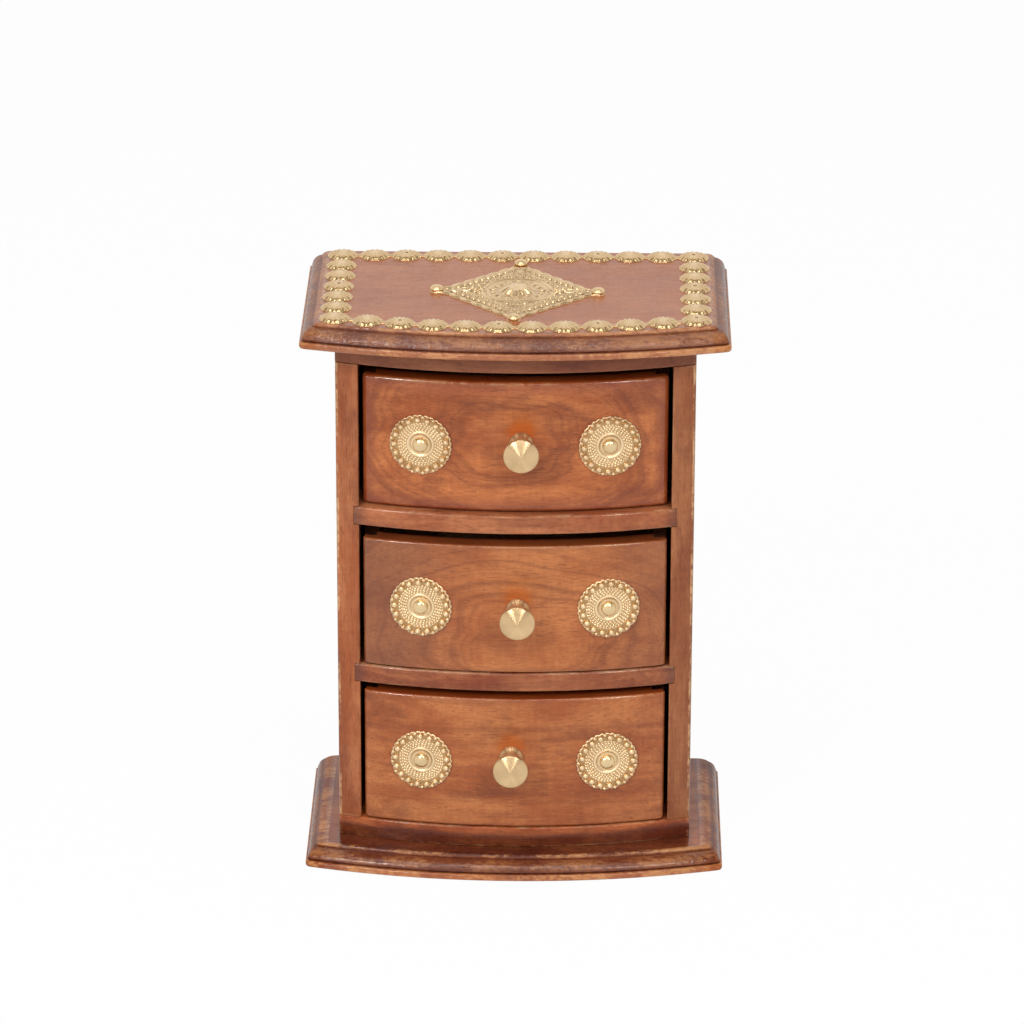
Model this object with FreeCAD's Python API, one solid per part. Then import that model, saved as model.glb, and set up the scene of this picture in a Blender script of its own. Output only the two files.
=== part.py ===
"""Bow-fronted miniature chest with three drawers, for keeping small paints and craft parts.

Millimetres, +Z up.  The drawers open towards -Y.  The origin lies on the underside of the base
board, half-way along its width and its depth.
"""
import FreeCAD, Part
import math
import os
from FreeCAD import Vector

os.makedirs("parts", exist_ok=True)

UP = Vector(0, 0, 1)
RIGHT = Vector(1, 0, 0)
TOWARDS_BACK = Vector(0, 1, 0)
TOWARDS_FRONT = Vector(0, -1, 0)

# Case: overall width and depth are those of the moulded top and base boards.
WIDTH = 127.0
DEPTH = 77.4
BOARD_BOW = 9.2
BASE_THICKNESS = 6.5
TOP_THICKNESS = 6.9
SIDE_OVERHANG = 10.0
FRONT_OVERHANG = 11.2
CARCASS_BOW = 9.0
CARCASS_BOTTOM_THICKNESS = 6.4
CARCASS_TOP_THICKNESS = 8.0
SIDE_THICKNESS = 6.8
SHELF_THICKNESS = 6.0
OPENING_HEIGHT = 45.1
DADO_DEPTH = 1.6
DADO_CLEARANCE = 0.05
BACK_THICKNESS = 3.2
BACK_REBATE = 3.4
WORN_EDGE = 0.45
WORN_CORNER = 0.9

# Moulding worked on the front and both ends of the top and base boards.
MOULDING_WIDTH = 5.0
STEP_HEIGHT = 1.25
LIP_HEIGHT = 2.1
LIP_ROUNDING = 0.9
LIP_CREST = 0.45
QUIRK_WIDTH = 1.35
OVOLO_SETBACK = 0.8
OVOLO_FOOT = 0.65
OVOLO_FACETS = 4
ARRIS = 0.3

# Drawers, from the lowest to the highest.  They were fitted by hand, so no two are quite alike.
DRAWER_NAMES = ("bottom", "middle", "top")
HEAD_CLEARANCES = (2.5, 3.9, 3.8)
CLOSED_SETBACKS = (0.2, 0.3, 2.8)
KNOB_SHIFTS_X = (-0.9, 0.9, 1.8)
KNOB_SHIFTS_Z = (2.1, 0.1, 1.4)
FRONT_SIDE_CLEARANCE = 1.25
RUNNING_CLEARANCE = 0.3
DRAWER_END_CLEARANCE = 0.7
FRONT_THICKNESS = 5.8
FRONT_CORNER = 1.9
FRONT_EDGE = 0.65
FRONT_LAP = 2.6
DRAWER_SIDE_THICKNESS = 4.0
DRAWER_SIDE_DROP = 4.0
DRAWER_BACK_THICKNESS = 4.0
DRAWER_BOTTOM_THICKNESS = 2.4
DRAWER_BOTTOM_LIFT = 2.0
GROOVE_DEPTH = 1.6
GROOVE_CLEARANCE = 0.05

# Turned brass knob and the screw that holds it from inside the drawer.
KNOB_HEAD_RADIUS = 5.25
KNOB_FOOT_RADIUS = 3.6
KNOB_NECK_RADIUS = 2.6
KNOB_LENGTH = 12.3
KNOB_FOOT_HEIGHT = 0.8
KNOB_WAIST_AT = 1.6
KNOB_NECK_AT = 3.4
KNOB_FLARE_FACETS = 3
KNOB_RIM_AT = 9.3
KNOB_RIM_HEIGHT = 1.5
KNOB_RIM_BEVEL = 0.36
KNOB_SEAT = 0.06
KNOB_SCREW_RADIUS = 1.4
KNOB_SCREW_HEAD_RADIUS = 2.8
KNOB_SCREW_HEAD_HEIGHT = 1.3
KNOB_SCREW_HEAD_BEVEL = 0.5
KNOB_SCREW_GRIP = 6.0
KNOB_SCREW_CLEARANCE = 0.04

# Stamped brass rosettes, measured in from the ends of the drawer front, and the domed pins
# through their centres.
ROSETTE_INSET = 17.35
ROSETTE_RADIUS = 9.5
ROSETTE_SHEET = 0.45
ROSETTE_LOBES = 17
ROSETTE_LOBE_DEPTH = 0.45
ROSETTE_SEAT = 0.04
BEAD_CIRCLE_RADIUS = 8.05
BEAD_WIDTH = 1.7
BEAD_RISE = 0.85
BEAD_SIDES = 4
BEAD_CROWN = 0.35
ROPE_RING_RADIUS = 3.55
ROPE_RING_WIDTH = 1.1
ROPE_RING_CREST = 0.1
ROPE_RING_RISE = 0.75
ROPE_RING_SIDES = 12
ROSETTE_PIN_SHANK = 1.1
ROSETTE_PIN_DOME = 2.35
ROSETTE_PIN_RISE = 1.3
ROSETTE_PIN_LENGTH = 4.0

# Brass edging strips nailed round the top: fluted discs joined by short links.
STRIP_INSET = 10.5
STRIP_BACK_INSET = 4.9
STRIP_SHEET = 0.4
DISC_RADIUS = 4.4
DISC_RISE = 0.95
DISC_CROWN = 0.42
DISC_FLUTES = 7
FLUTE_DEPTH = 0.5
DISCS_ACROSS = 12
DISCS_ALONG = 7
LINK_WIDTH = 2.6
DISCS_PER_NAIL = 3
STRIP_NAIL_SHANK = 0.8
STRIP_NAIL_HEAD = 1.3
STRIP_NAIL_HEAD_HEIGHT = 0.3
STRIP_NAIL_LENGTH = 4.2

# Stamped brass medallion in the middle of the top, with a domed stud at each tip.
MEDALLION_REACH = 24.9
MEDALLION_TIP = 23.7
MEDALLION_CENTRE_Y = 0.8
MEDALLION_SHEET = 0.7
MEDALLION_LOBES = 4
MEDALLION_LOBE_RISE = 0.55
MEDALLION_EYE_RADIUS = 1.95
RING_RADIUS = 10.9
RING_WIDTH = 1.2
RING_RISE = 0.45
FLOWER_RADIUS = 4.9
FLOWER_RISE = 1.3
STUD_RADIUS = 1.75
STUD_RISE = 1.5
STUD_SHANK = 1.0
STUD_SHANK_LENGTH = 4.0

# Small domes are faceted: how many sides, and where they bend and flatten.
DOME_SIDES = 10
DOME_WAIST = 0.62
DOME_FLAT = 0.2

# Cut nails: square in the shank, with a many-sided head.
NAIL_HEAD_SIDES = 6
NAIL_CLEARANCE = 0.03
NAIL_END_MARGIN = 12.0
CASE_NAIL_SHANK = 1.5
CASE_NAIL_HEAD = 3.0
CASE_NAIL_HEAD_HEIGHT = 0.7
BASE_NAIL_LENGTH = 22.0
BACK_NAIL_LENGTH = 11.0
CASE_NAIL_SINK = 0.3

# How far a cutting tool or a blank runs past the piece that it shapes.
OVERRUN = 1.0


def bow_radius(width, bow):
    """Radius of an arc that rises by bow over a chord of this width."""
    half = width / 2
    return (half**2 + bow**2) / (2 * bow)


BACK_Y = DEPTH / 2
BOARD_CROWN_Y = -DEPTH / 2
BOARD_RADIUS = bow_radius(WIDTH, BOARD_BOW)
CARCASS_WIDTH = WIDTH - 2 * SIDE_OVERHANG
CARCASS_CROWN_Y = BOARD_CROWN_Y + FRONT_OVERHANG
CARCASS_RADIUS = bow_radius(CARCASS_WIDTH, CARCASS_BOW)
CARCASS_CORNER_Y = CARCASS_CROWN_Y + CARCASS_BOW
OPENING_WIDTH = CARCASS_WIDTH - 2 * SIDE_THICKNESS

FLOOR_Z = BASE_THICKNESS + CARCASS_BOTTOM_THICKNESS
STOREY = OPENING_HEIGHT + SHELF_THICKNESS
CARCASS_TOP_Z = FLOOR_Z + (len(DRAWER_NAMES) - 1) * STOREY + OPENING_HEIGHT
TOP_BOARD_Z = CARCASS_TOP_Z + CARCASS_TOP_THICKNESS
SURFACE_Z = TOP_BOARD_Z + TOP_THICKNESS

DRAWER_WIDTH = OPENING_WIDTH - 2 * FRONT_SIDE_CLEARANCE
PANEL_FACE_Y = BACK_Y - BACK_THICKNESS
DRAWER_LENGTH = PANEL_FACE_Y - CARCASS_CROWN_Y - max(CLOSED_SETBACKS) - DRAWER_END_CLEARANCE


# ---------------------------------------------------------------- shared shapes

def block(x_range, y_range, z_range):
    """Box between two values on each axis."""
    corner = Vector(x_range[0], y_range[0], z_range[0])
    return Part.makeBox(x_range[1] - x_range[0], y_range[1] - y_range[0], z_range[1] - z_range[0], corner)


def bow_y(x, crown_y, radius):
    """Y of a bowed front at this x."""
    return crown_y + radius - math.sqrt(radius**2 - x**2)


def bowed(x_range, back_y, z_range, setback=0.0):
    """Board whose front edge follows the bow of the carcass, set back from it."""
    crown_y = CARCASS_CROWN_Y + setback
    radius = CARCASS_RADIUS - setback
    blank = block(x_range, (crown_y - OVERRUN, back_y), z_range)
    centre = Vector(0, crown_y + radius, z_range[0])
    return blank.common(Part.makeCylinder(radius, z_range[1] - z_range[0], centre))


def on_bow(edge, setback=0.0):
    """True for an edge that lies on the bowed front."""
    axis = Vector(0, CARCASS_CROWN_Y + CARCASS_RADIUS, 0)
    radius = CARCASS_RADIUS - setback
    for point in edge.discretize(3):
        flat = Vector(point.x, point.y, 0)
        if abs(flat.distanceToPoint(axis) - radius) > 0.001:
            return False
    return True


def rounded(shape, radius, chosen):
    """Shape with the chosen edges rounded."""
    return shape.makeFillet(radius, [edge for edge in shape.Edges if chosen(edge)])


def eased(shape, width, chosen):
    """Shape with the chosen arrises taken off by a narrow flat."""
    return shape.makeChamfer(width, [edge for edge in shape.Edges if chosen(edge)])


def is_level(edge):
    return edge.BoundBox.ZLength < 0.001


def is_upright(edge):
    return edge.BoundBox.XLength < 0.001 and edge.BoundBox.YLength < 0.001


def turned(corners, base, axis):
    """Solid turned from an outline of corners in the XZ plane, stood on base along axis."""
    solid = polygon_face(corners).revolve(Vector(0, 0, 0), UP, 360)
    return placed(solid, base, axis)


def arc(start, middle, end):
    return Part.Arc(start, middle, end).toShape()


def flat(x, z):
    """Point of a profile in the XZ plane."""
    return Vector(x, 0, z)


def rod(radius, length, base, axis):
    return Part.makeCylinder(radius, length, base, axis)


def dome_waist(radius, rise):
    """Radius and height of a point half-way up the curve of a round dome."""
    ball = bow_radius(2 * radius, rise)
    waist = radius * DOME_WAIST
    return waist, rise - ball + math.sqrt(ball**2 - waist**2)


def ring(radius, sides, z=0.0, turn=0.0):
    """Corners of a regular outline about the Z axis, on this radius."""
    angles = [turn + 2 * math.pi * i / sides for i in range(sides)]
    return [Vector(radius * math.cos(a), radius * math.sin(a), z) for a in angles]


def polygon_face(points):
    return Part.Face(Part.makePolygon(points + points[:1]))


def faceted(rings):
    """Solid with a flat base and top and flat sides between rings of corners, from low to high."""
    faces = [polygon_face(rings[0]), polygon_face(rings[-1])]
    for low, high in zip(rings, rings[1:]):
        for i in range(len(low)):
            faces.append(polygon_face([low[i - 1], low[i], high[i], high[i - 1]]))
    solid = Part.Solid(Part.Shell(faces))
    if solid.Volume < 0:
        solid.reverse()
    return solid


def placed(shape, base, axis):
    """Shape modelled on the Z axis, stood on base along axis."""
    shape.Placement = FreeCAD.Placement(base, FreeCAD.Rotation(UP, axis))
    return shape


def export(name, solids):
    """Write one node; like pieces share it as separate solids."""
    shape = solids[0] if len(solids) == 1 else Part.makeCompound(solids)
    shape.exportStep(os.path.join("parts", name + ".step"))


# ---------------------------------------------------------------- nails

def square_bar(width, low, high):
    half = width / 2
    return block((-half, half), (-half, half), (low, high))


def cut_nail(seat, axis, length, shank, head, head_height):
    """Nail that points along axis, with the underside of its head on seat."""
    top = polygon_face(ring(head / 2, NAIL_HEAD_SIDES, -head_height)).extrude(UP * head_height)
    return placed(top.fuse(square_bar(shank, 0, length)), seat, axis)


def nail_hole(seat, axis, length, shank):
    return placed(square_bar(shank + 2 * NAIL_CLEARANCE, 0, length + NAIL_CLEARANCE), seat, axis)


def case_nail(seat, axis, length):
    return cut_nail(seat, axis, length, CASE_NAIL_SHANK, CASE_NAIL_HEAD, CASE_NAIL_HEAD_HEIGHT)


def case_nail_hole(seat, axis, length):
    """Hole for a nail driven below the face that it enters."""
    depth = CASE_NAIL_HEAD_HEIGHT + CASE_NAIL_SINK
    outline = ring(CASE_NAIL_HEAD / 2 + NAIL_CLEARANCE, NAIL_HEAD_SIDES, -depth)
    recess = placed(polygon_face(outline).extrude(UP * depth), seat, axis)
    return recess.fuse(nail_hole(seat, axis, length, CASE_NAIL_SHANK))


def base_nail_seats():
    """Four nails go up through the base and the carcass bottom into the sides."""
    middle = (CARCASS_WIDTH - SIDE_THICKNESS) / 2
    rows = (CARCASS_CORNER_Y + NAIL_END_MARGIN, PANEL_FACE_Y - NAIL_END_MARGIN)
    seat_z = CASE_NAIL_SINK + CASE_NAIL_HEAD_HEIGHT
    return [Vector(x, y, seat_z) for x in (-middle, middle) for y in rows]


def back_nail_seats():
    """A column of nails along each edge of the back panel."""
    x = OPENING_WIDTH / 2 + BACK_REBATE / 2
    count = len(DRAWER_NAMES)
    pitch = (CARCASS_TOP_Z - FLOOR_Z - 2 * NAIL_END_MARGIN) / (count - 1)
    heights = [FLOOR_Z + NAIL_END_MARGIN + i * pitch for i in range(count)]
    seat_y = BACK_Y - CASE_NAIL_HEAD_HEIGHT - CASE_NAIL_SINK
    return [Vector(side, seat_y, z) for side in (-x, x) for z in heights]


def make_case_nails():
    export("base_nails", [case_nail(seat, UP, BASE_NAIL_LENGTH) for seat in base_nail_seats()])
    export("back_nails", [case_nail(seat, TOWARDS_FRONT, BACK_NAIL_LENGTH) for seat in back_nail_seats()])


def base_nail_holes():
    return [case_nail_hole(seat, UP, BASE_NAIL_LENGTH) for seat in base_nail_seats()]


def back_nail_holes():
    return [case_nail_hole(seat, TOWARDS_FRONT, BACK_NAIL_LENGTH) for seat in back_nail_seats()]


# ---------------------------------------------------------------- moulded boards

def quarter_round(foot, crown, facets):
    """Points of a quarter ellipse from its foot, where it stands upright, to its level crown."""
    width = foot.x - crown.x
    height = crown.z - foot.z
    angles = [math.pi / 2 * i / facets for i in range(facets + 1)]
    return [flat(crown.x + width * math.cos(a), foot.z + height * math.sin(a)) for a in angles]


def moulding_edge(reach, thickness):
    """Corners of the moulded edge in the XZ plane, from the lip's underside up to the flat."""
    inner = reach - MOULDING_WIDTH
    bulge = flat(reach - OVOLO_SETBACK, LIP_HEIGHT + OVOLO_FOOT)
    step = flat(inner, thickness - STEP_HEIGHT)
    lip_bend = LIP_ROUNDING * (1 - math.sqrt(0.5))
    return [
        flat(reach - LIP_ROUNDING, 0),
        flat(reach - lip_bend, lip_bend),
        flat(reach, LIP_ROUNDING),
        flat(reach, LIP_HEIGHT - LIP_CREST),
        flat(reach - LIP_CREST, LIP_HEIGHT),
        flat(reach - QUIRK_WIDTH, LIP_HEIGHT),
        *quarter_round(bulge, step, OVOLO_FACETS),
        flat(inner, thickness - ARRIS),
        flat(inner - ARRIS, thickness),
    ]


def moulded_board(thickness, underside_z):
    """Board with the moulding on its bowed front and both ends, mitred where they meet.

    A straight bar carries the moulding of the two ends, and a turned cutter with the same
    section works the bowed front across it, which leaves a mitre at each corner.
    """
    reach = WIDTH / 2
    half_section = moulding_edge(reach, thickness) + [flat(0, thickness), flat(0, 0)]
    right_half = polygon_face(half_section).extrude(TOWARDS_BACK * (DEPTH + MOULDING_WIDTH))
    left_half = right_half.mirror(Vector(0, 0, 0), RIGHT)
    bar = right_half.fuse(left_half).removeSplitter()
    bar.translate(Vector(0, BOARD_CROWN_Y - MOULDING_WIDTH, underside_z))
    high = thickness + MOULDING_WIDTH
    far = BOARD_RADIUS + WIDTH
    cutter_section = moulding_edge(BOARD_RADIUS, thickness) + [
        flat(BOARD_RADIUS - MOULDING_WIDTH - ARRIS, high), flat(far, high),
        flat(far, -MOULDING_WIDTH), flat(BOARD_RADIUS - LIP_ROUNDING, -MOULDING_WIDTH)]
    centre = Vector(0, BOARD_CROWN_Y + BOARD_RADIUS, underside_z)
    return bar.cut(turned(cutter_section, centre, UP))


def make_base_board():
    board = moulded_board(BASE_THICKNESS, 0)
    export("base_board", [board.cut(base_nail_holes())])


def make_top_board():
    board = moulded_board(TOP_THICKNESS, TOP_BOARD_Z)
    export("top_board", [board.cut(strip_nail_holes() + stud_holes())])


# ---------------------------------------------------------------- carcass

def carcass_board(z_low, z_high, worn_z):
    """Full-width board over or under the sides, with its exposed front arrises worn."""
    half = CARCASS_WIDTH / 2
    board = bowed((-half, half), BACK_Y, (z_low, z_high))
    return eased(board, WORN_EDGE, lambda edge: on_bow(edge) and is_level(edge)
                 and abs(edge.BoundBox.ZMin - worn_z) < 0.001)


def make_carcass_bottom():
    board = carcass_board(BASE_THICKNESS, FLOOR_Z, FLOOR_Z)
    export("carcass_bottom", [board.cut(base_nail_holes())])


def make_carcass_top():
    export("carcass_top", [carcass_board(CARCASS_TOP_Z, TOP_BOARD_Z, CARCASS_TOP_Z)])


def shelf_levels():
    """Underside of each shelf, from the lower to the upper."""
    return [FLOOR_Z + OPENING_HEIGHT + i * STOREY for i in range(len(DRAWER_NAMES) - 1)]


def make_shelves():
    half = OPENING_WIDTH / 2 + DADO_DEPTH - DADO_CLEARANCE
    for name, z in zip(("shelf_lower", "shelf_upper"), shelf_levels()):
        low = z + DADO_CLEARANCE
        high = z + SHELF_THICKNESS - DADO_CLEARANCE
        board = bowed((-half, half), PANEL_FACE_Y, (low, high))
        board = eased(board, WORN_EDGE, lambda edge: on_bow(edge) and is_level(edge))
        export(name, [board])


def side_panel():
    """Right-hand side, with dadoes for the shelves and a rebate for the back."""
    inner = OPENING_WIDTH / 2
    outer = CARCASS_WIDTH / 2
    panel = bowed((inner, outer), BACK_Y, (FLOOR_Z, CARCASS_TOP_Z))
    panel = rounded(panel, WORN_CORNER, lambda edge: on_bow(edge) and is_upright(edge)
                    and abs(edge.BoundBox.XMin - outer) < 0.001)
    panel = eased(panel, WORN_EDGE, lambda edge: on_bow(edge) and is_upright(edge)
                  and abs(edge.BoundBox.XMin - inner) < 0.001)
    cuts = [block((inner, inner + DADO_DEPTH), (CARCASS_CROWN_Y, BACK_Y), (z, z + SHELF_THICKNESS))
            for z in shelf_levels()]
    cuts.append(block((inner, inner + BACK_REBATE), (PANEL_FACE_Y, BACK_Y), (FLOOR_Z, CARCASS_TOP_Z)))
    return panel.cut(cuts)


def make_sides():
    holes = base_nail_holes() + back_nail_holes()
    right = side_panel()
    left = right.mirror(Vector(0, 0, 0), RIGHT)
    export("case_side_right", [right.cut(holes)])
    export("case_side_left", [left.cut(holes)])


def make_back_panel():
    half = OPENING_WIDTH / 2 + BACK_REBATE
    panel = block((-half, half), (PANEL_FACE_Y, BACK_Y), (FLOOR_Z, CARCASS_TOP_Z))
    export("back_panel", [panel.cut(back_nail_holes())])


# ---------------------------------------------------------------- brass on the top

def strip_corner():
    """X of the side columns of discs, and Y of the two ends of such a column."""
    x = WIDTH / 2 - STRIP_INSET
    front_y = bow_y(x, BOARD_CROWN_Y + STRIP_INSET, BOARD_RADIUS - STRIP_INSET)
    return x, front_y, BACK_Y - STRIP_BACK_INSET


def row_stations():
    """X of each disc along the front and the back row."""
    x_end, _, _ = strip_corner()
    pitch = 2 * x_end / (DISCS_ACROSS - 1)
    return [-x_end + i * pitch for i in range(DISCS_ACROSS)]


def front_row_centres():
    """Disc centres of the front row, which follows the bow of the board."""
    crown_y = BOARD_CROWN_Y + STRIP_INSET
    radius = BOARD_RADIUS - STRIP_INSET
    return [Vector(x, bow_y(x, crown_y, radius), SURFACE_Z) for x in row_stations()]


def back_row_centres():
    _, _, back_y = strip_corner()
    return [Vector(x, back_y, SURFACE_Z) for x in row_stations()]


def column_centres(side):
    """Disc centres of a side column, without the corners that the two rows hold."""
    x_end, front_y, back_y = strip_corner()
    pitch = (back_y - front_y) / (DISCS_ALONG - 1)
    return [Vector(side * x_end, front_y + i * pitch, SURFACE_Z) for i in range(1, DISCS_ALONG - 1)]


def star(radius, depth, count, z=0.0):
    """Corners of an outline with count points on this radius and a valley of this depth after each."""
    points = []
    for i in range(2 * count):
        reach = radius - (depth if i % 2 else 0)
        angle = math.pi * i / count
        points.append(Vector(reach * math.cos(angle), reach * math.sin(angle), z))
    return points


def fluted_disc(centre):
    """Shallow fluted boss, widest where it lies on the wood."""
    foot = star(DISC_RADIUS, FLUTE_DEPTH, DISC_FLUTES)
    crown = star(DISC_RADIUS * DISC_CROWN, FLUTE_DEPTH * DISC_CROWN, DISC_FLUTES, DISC_RISE)
    return faceted([foot, crown]).translated(centre)


def link(start, end):
    """Flat bar of the strip between two discs."""
    run = end - start
    bar = block((0, run.Length), (-LINK_WIDTH / 2, LINK_WIDTH / 2), (0, STRIP_SHEET))
    bar.Placement = FreeCAD.Placement(start, FreeCAD.Rotation(RIGHT, run))
    return bar


def edging_strip(centres):
    """Discs joined by links into one stamped strip."""
    discs = [fluted_disc(centre) for centre in centres]
    links = [link(start, end) for start, end in zip(centres, centres[1:])]
    return discs[0].fuse(discs[1:] + links).removeSplitter()


def strip_runs():
    """Name and disc centres of each of the four strips."""
    return (
        ("strip_front", front_row_centres()),
        ("strip_back", back_row_centres()),
        ("strip_left", column_centres(-1)),
        ("strip_right", column_centres(1)),
    )


def strip_nail_seats():
    """Seat of each nail head, on the crown of every third disc."""
    return [centre + UP * DISC_RISE for _, centres in strip_runs()
            for centre in centres[DISCS_PER_NAIL - 1::DISCS_PER_NAIL]]


def strip_nail(seat):
    return cut_nail(seat, UP * -1, STRIP_NAIL_LENGTH, STRIP_NAIL_SHANK, STRIP_NAIL_HEAD,
                    STRIP_NAIL_HEAD_HEIGHT)


def strip_nail_holes():
    return [nail_hole(seat, UP * -1, STRIP_NAIL_LENGTH, STRIP_NAIL_SHANK)
            for seat in strip_nail_seats()]


def make_strips():
    holes = strip_nail_holes()
    for name, centres in strip_runs():
        export(name, [edging_strip(centres).cut(holes)])
    export("strip_nails", [strip_nail(seat) for seat in strip_nail_seats()])


def medallion_tips():
    """Seat of the stud at each tip of the medallion."""
    centre = Vector(0, MEDALLION_CENTRE_Y, SURFACE_Z)
    reach = MEDALLION_REACH
    return [centre + Vector(reach * math.cos(a), reach * math.sin(a), 0)
            for a in (0, math.pi / 2, math.pi, 3 * math.pi / 2)]


def medallion_outline():
    """Square stood on its corner, with a row of shallow lobes along each edge."""
    centre = Vector(0, MEDALLION_CENTRE_Y, SURFACE_Z)
    edges = []
    for side in range(4):
        start_angle = side * math.pi / 2
        end_angle = start_angle + math.pi / 2
        start = Vector(math.cos(start_angle), math.sin(start_angle), 0) * MEDALLION_TIP
        end = Vector(math.cos(end_angle), math.sin(end_angle), 0) * MEDALLION_TIP
        outward = (start + end).normalize() * MEDALLION_LOBE_RISE
        for lobe in range(MEDALLION_LOBES):
            first = start + (end - start) * (lobe / MEDALLION_LOBES)
            last = start + (end - start) * ((lobe + 1) / MEDALLION_LOBES)
            crest = (first + last) * 0.5 + outward
            edges.append(arc(centre + first, centre + crest, centre + last))
    return Part.Wire(edges)


def boss():
    """Middle of the medallion: a raised ring with a domed flower button inside it."""
    ring_in = RING_RADIUS - RING_WIDTH
    waist, waist_z = dome_waist(FLOWER_RADIUS, FLOWER_RISE)
    corners = [
        flat(0, 0),
        flat(RING_RADIUS, 0),
        flat(RING_RADIUS, MEDALLION_SHEET),
        flat(RING_RADIUS - RING_WIDTH / 2, MEDALLION_SHEET + RING_RISE),
        flat(ring_in, MEDALLION_SHEET),
        flat(FLOWER_RADIUS, MEDALLION_SHEET),
        flat(waist, MEDALLION_SHEET + waist_z),
        flat(0, MEDALLION_SHEET + FLOWER_RISE),
    ]
    return turned(corners, Vector(0, MEDALLION_CENTRE_Y, SURFACE_Z), UP)


def make_medallion():
    plate = Part.Face(medallion_outline()).extrude(UP * MEDALLION_SHEET)
    eyes = [rod(MEDALLION_EYE_RADIUS, MEDALLION_SHEET, tip, UP) for tip in medallion_tips()]
    whole = plate.fuse(eyes + [boss()]).removeSplitter()
    export("medallion", [whole.cut(stud_holes())])


def domed_pin(seat, axis, dome_radius, rise, shank, length):
    """Pin that points along axis, with the flat underside of its domed head on seat."""
    waist, waist_z = dome_waist(dome_radius, rise)
    rings = ((dome_radius, 0), (waist, waist_z), (dome_radius * DOME_FLAT, rise))
    head = faceted([ring(radius, DOME_SIDES, -z) for radius, z in rings])
    return placed(head.fuse(square_bar(shank, 0, length)), seat, axis)


def stud_seats():
    return [tip + UP * MEDALLION_SHEET for tip in medallion_tips()]


def stud_holes():
    return [nail_hole(seat, UP * -1, STUD_SHANK_LENGTH, STUD_SHANK) for seat in stud_seats()]


def make_medallion_studs():
    studs = [domed_pin(seat, UP * -1, STUD_RADIUS, STUD_RISE, STUD_SHANK, STUD_SHANK_LENGTH)
             for seat in stud_seats()]
    export("medallion_studs", studs)


# ---------------------------------------------------------------- drawers

class Drawer:
    """Places of one drawer, worked out from its storey and how far it stands back."""

    def __init__(self, number):
        self.name = DRAWER_NAMES[number]
        self.setback = CLOSED_SETBACKS[number]
        self.low = FLOOR_Z + number * STOREY + RUNNING_CLEARANCE
        self.high = FLOOR_Z + number * STOREY + OPENING_HEIGHT - HEAD_CLEARANCES[number]
        self.middle = (self.low + self.high) / 2
        self.half = DRAWER_WIDTH / 2
        self.back_y = CARCASS_CROWN_Y + self.setback + DRAWER_LENGTH
        self.side_top = self.high - DRAWER_SIDE_DROP
        self.bottom_low = self.low + DRAWER_BOTTOM_LIFT
        self.bottom_high = self.bottom_low + DRAWER_BOTTOM_THICKNESS
        self.inside = self.half - DRAWER_SIDE_THICKNESS
        self.knob_x = KNOB_SHIFTS_X[number]
        self.knob_z = self.middle + KNOB_SHIFTS_Z[number]

    def face_point(self, x, z):
        """Point of the bowed face and the direction straight out of it."""
        radius = CARCASS_RADIUS - self.setback
        crown_y = CARCASS_CROWN_Y + self.setback
        centre = Vector(0, crown_y + radius, z)
        point = Vector(x, bow_y(x, crown_y, radius), z)
        return point, (point - centre).normalize()

    def rosette_places(self):
        x = self.half - ROSETTE_INSET
        return (("left", self.face_point(-x, self.middle)),
                ("right", self.face_point(x, self.middle)))

    def knob_place(self):
        return self.face_point(self.knob_x, self.knob_z)


def bottom_panel(drawer, clearance):
    """Drawer bottom, let into grooves in the front and the sides."""
    half = drawer.inside + GROOVE_DEPTH - clearance
    setback = drawer.setback + FRONT_THICKNESS - GROOVE_DEPTH + clearance
    levels = (drawer.bottom_low + clearance, drawer.bottom_high - clearance)
    return bowed((-half, half), drawer.back_y, levels, setback)


def rosette_pin_holes(drawer):
    return [nail_hole(point + out * (ROSETTE_SHEET + ROSETTE_SEAT), out * -1, ROSETTE_PIN_LENGTH,
                      ROSETTE_PIN_SHANK) for _, (point, out) in drawer.rosette_places()]


def knob_screw_hole(drawer):
    """Hole right through the front for the knob's screw, and on into the knob."""
    point, out = drawer.knob_place()
    depth = FRONT_THICKNESS + OVERRUN
    start = point - out * depth
    return rod(KNOB_SCREW_RADIUS + KNOB_SCREW_CLEARANCE, depth + KNOB_SCREW_GRIP, start, out)


def make_drawer_front(drawer):
    """Bowed front with worn edges, rebated at each end for the sides."""
    half = drawer.half
    limits = (-half, half)
    levels = (drawer.low, drawer.high)
    solid = bowed(limits, CARCASS_CORNER_Y + FRONT_THICKNESS + drawer.setback + CARCASS_BOW, levels,
                  drawer.setback)
    hollow = bowed((-half - OVERRUN, half + OVERRUN), BACK_Y, levels, drawer.setback + FRONT_THICKNESS)
    front = solid.cut(hollow)
    front = rounded(front, FRONT_CORNER, lambda edge: edge.BoundBox.XLength < 0.001
                    and edge.BoundBox.ZLength < 0.001)
    front = eased(front, FRONT_EDGE, lambda edge: on_bow(edge, drawer.setback))
    laps = [drawer_side_blank(drawer, side) for side in (-1, 1)]
    tools = laps + [bottom_panel(drawer, 0), knob_screw_hole(drawer)] + rosette_pin_holes(drawer)
    export(drawer.name + "_drawer_front", [front.cut(tools)])


def drawer_side_blank(drawer, side):
    """Side of the drawer before it is grooved; its front end follows the lap in the front."""
    outer = side * drawer.half
    inner = side * drawer.inside
    limits = (min(outer, inner), max(outer, inner))
    return bowed(limits, drawer.back_y, (drawer.low, drawer.side_top), drawer.setback + FRONT_LAP)


def make_drawer_sides(drawer):
    groove = bottom_panel(drawer, 0)
    for name, side in (("left", -1), ("right", 1)):
        panel = drawer_side_blank(drawer, side).cut(groove)
        export(drawer.name + "_drawer_side_" + name, [panel])


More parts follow.
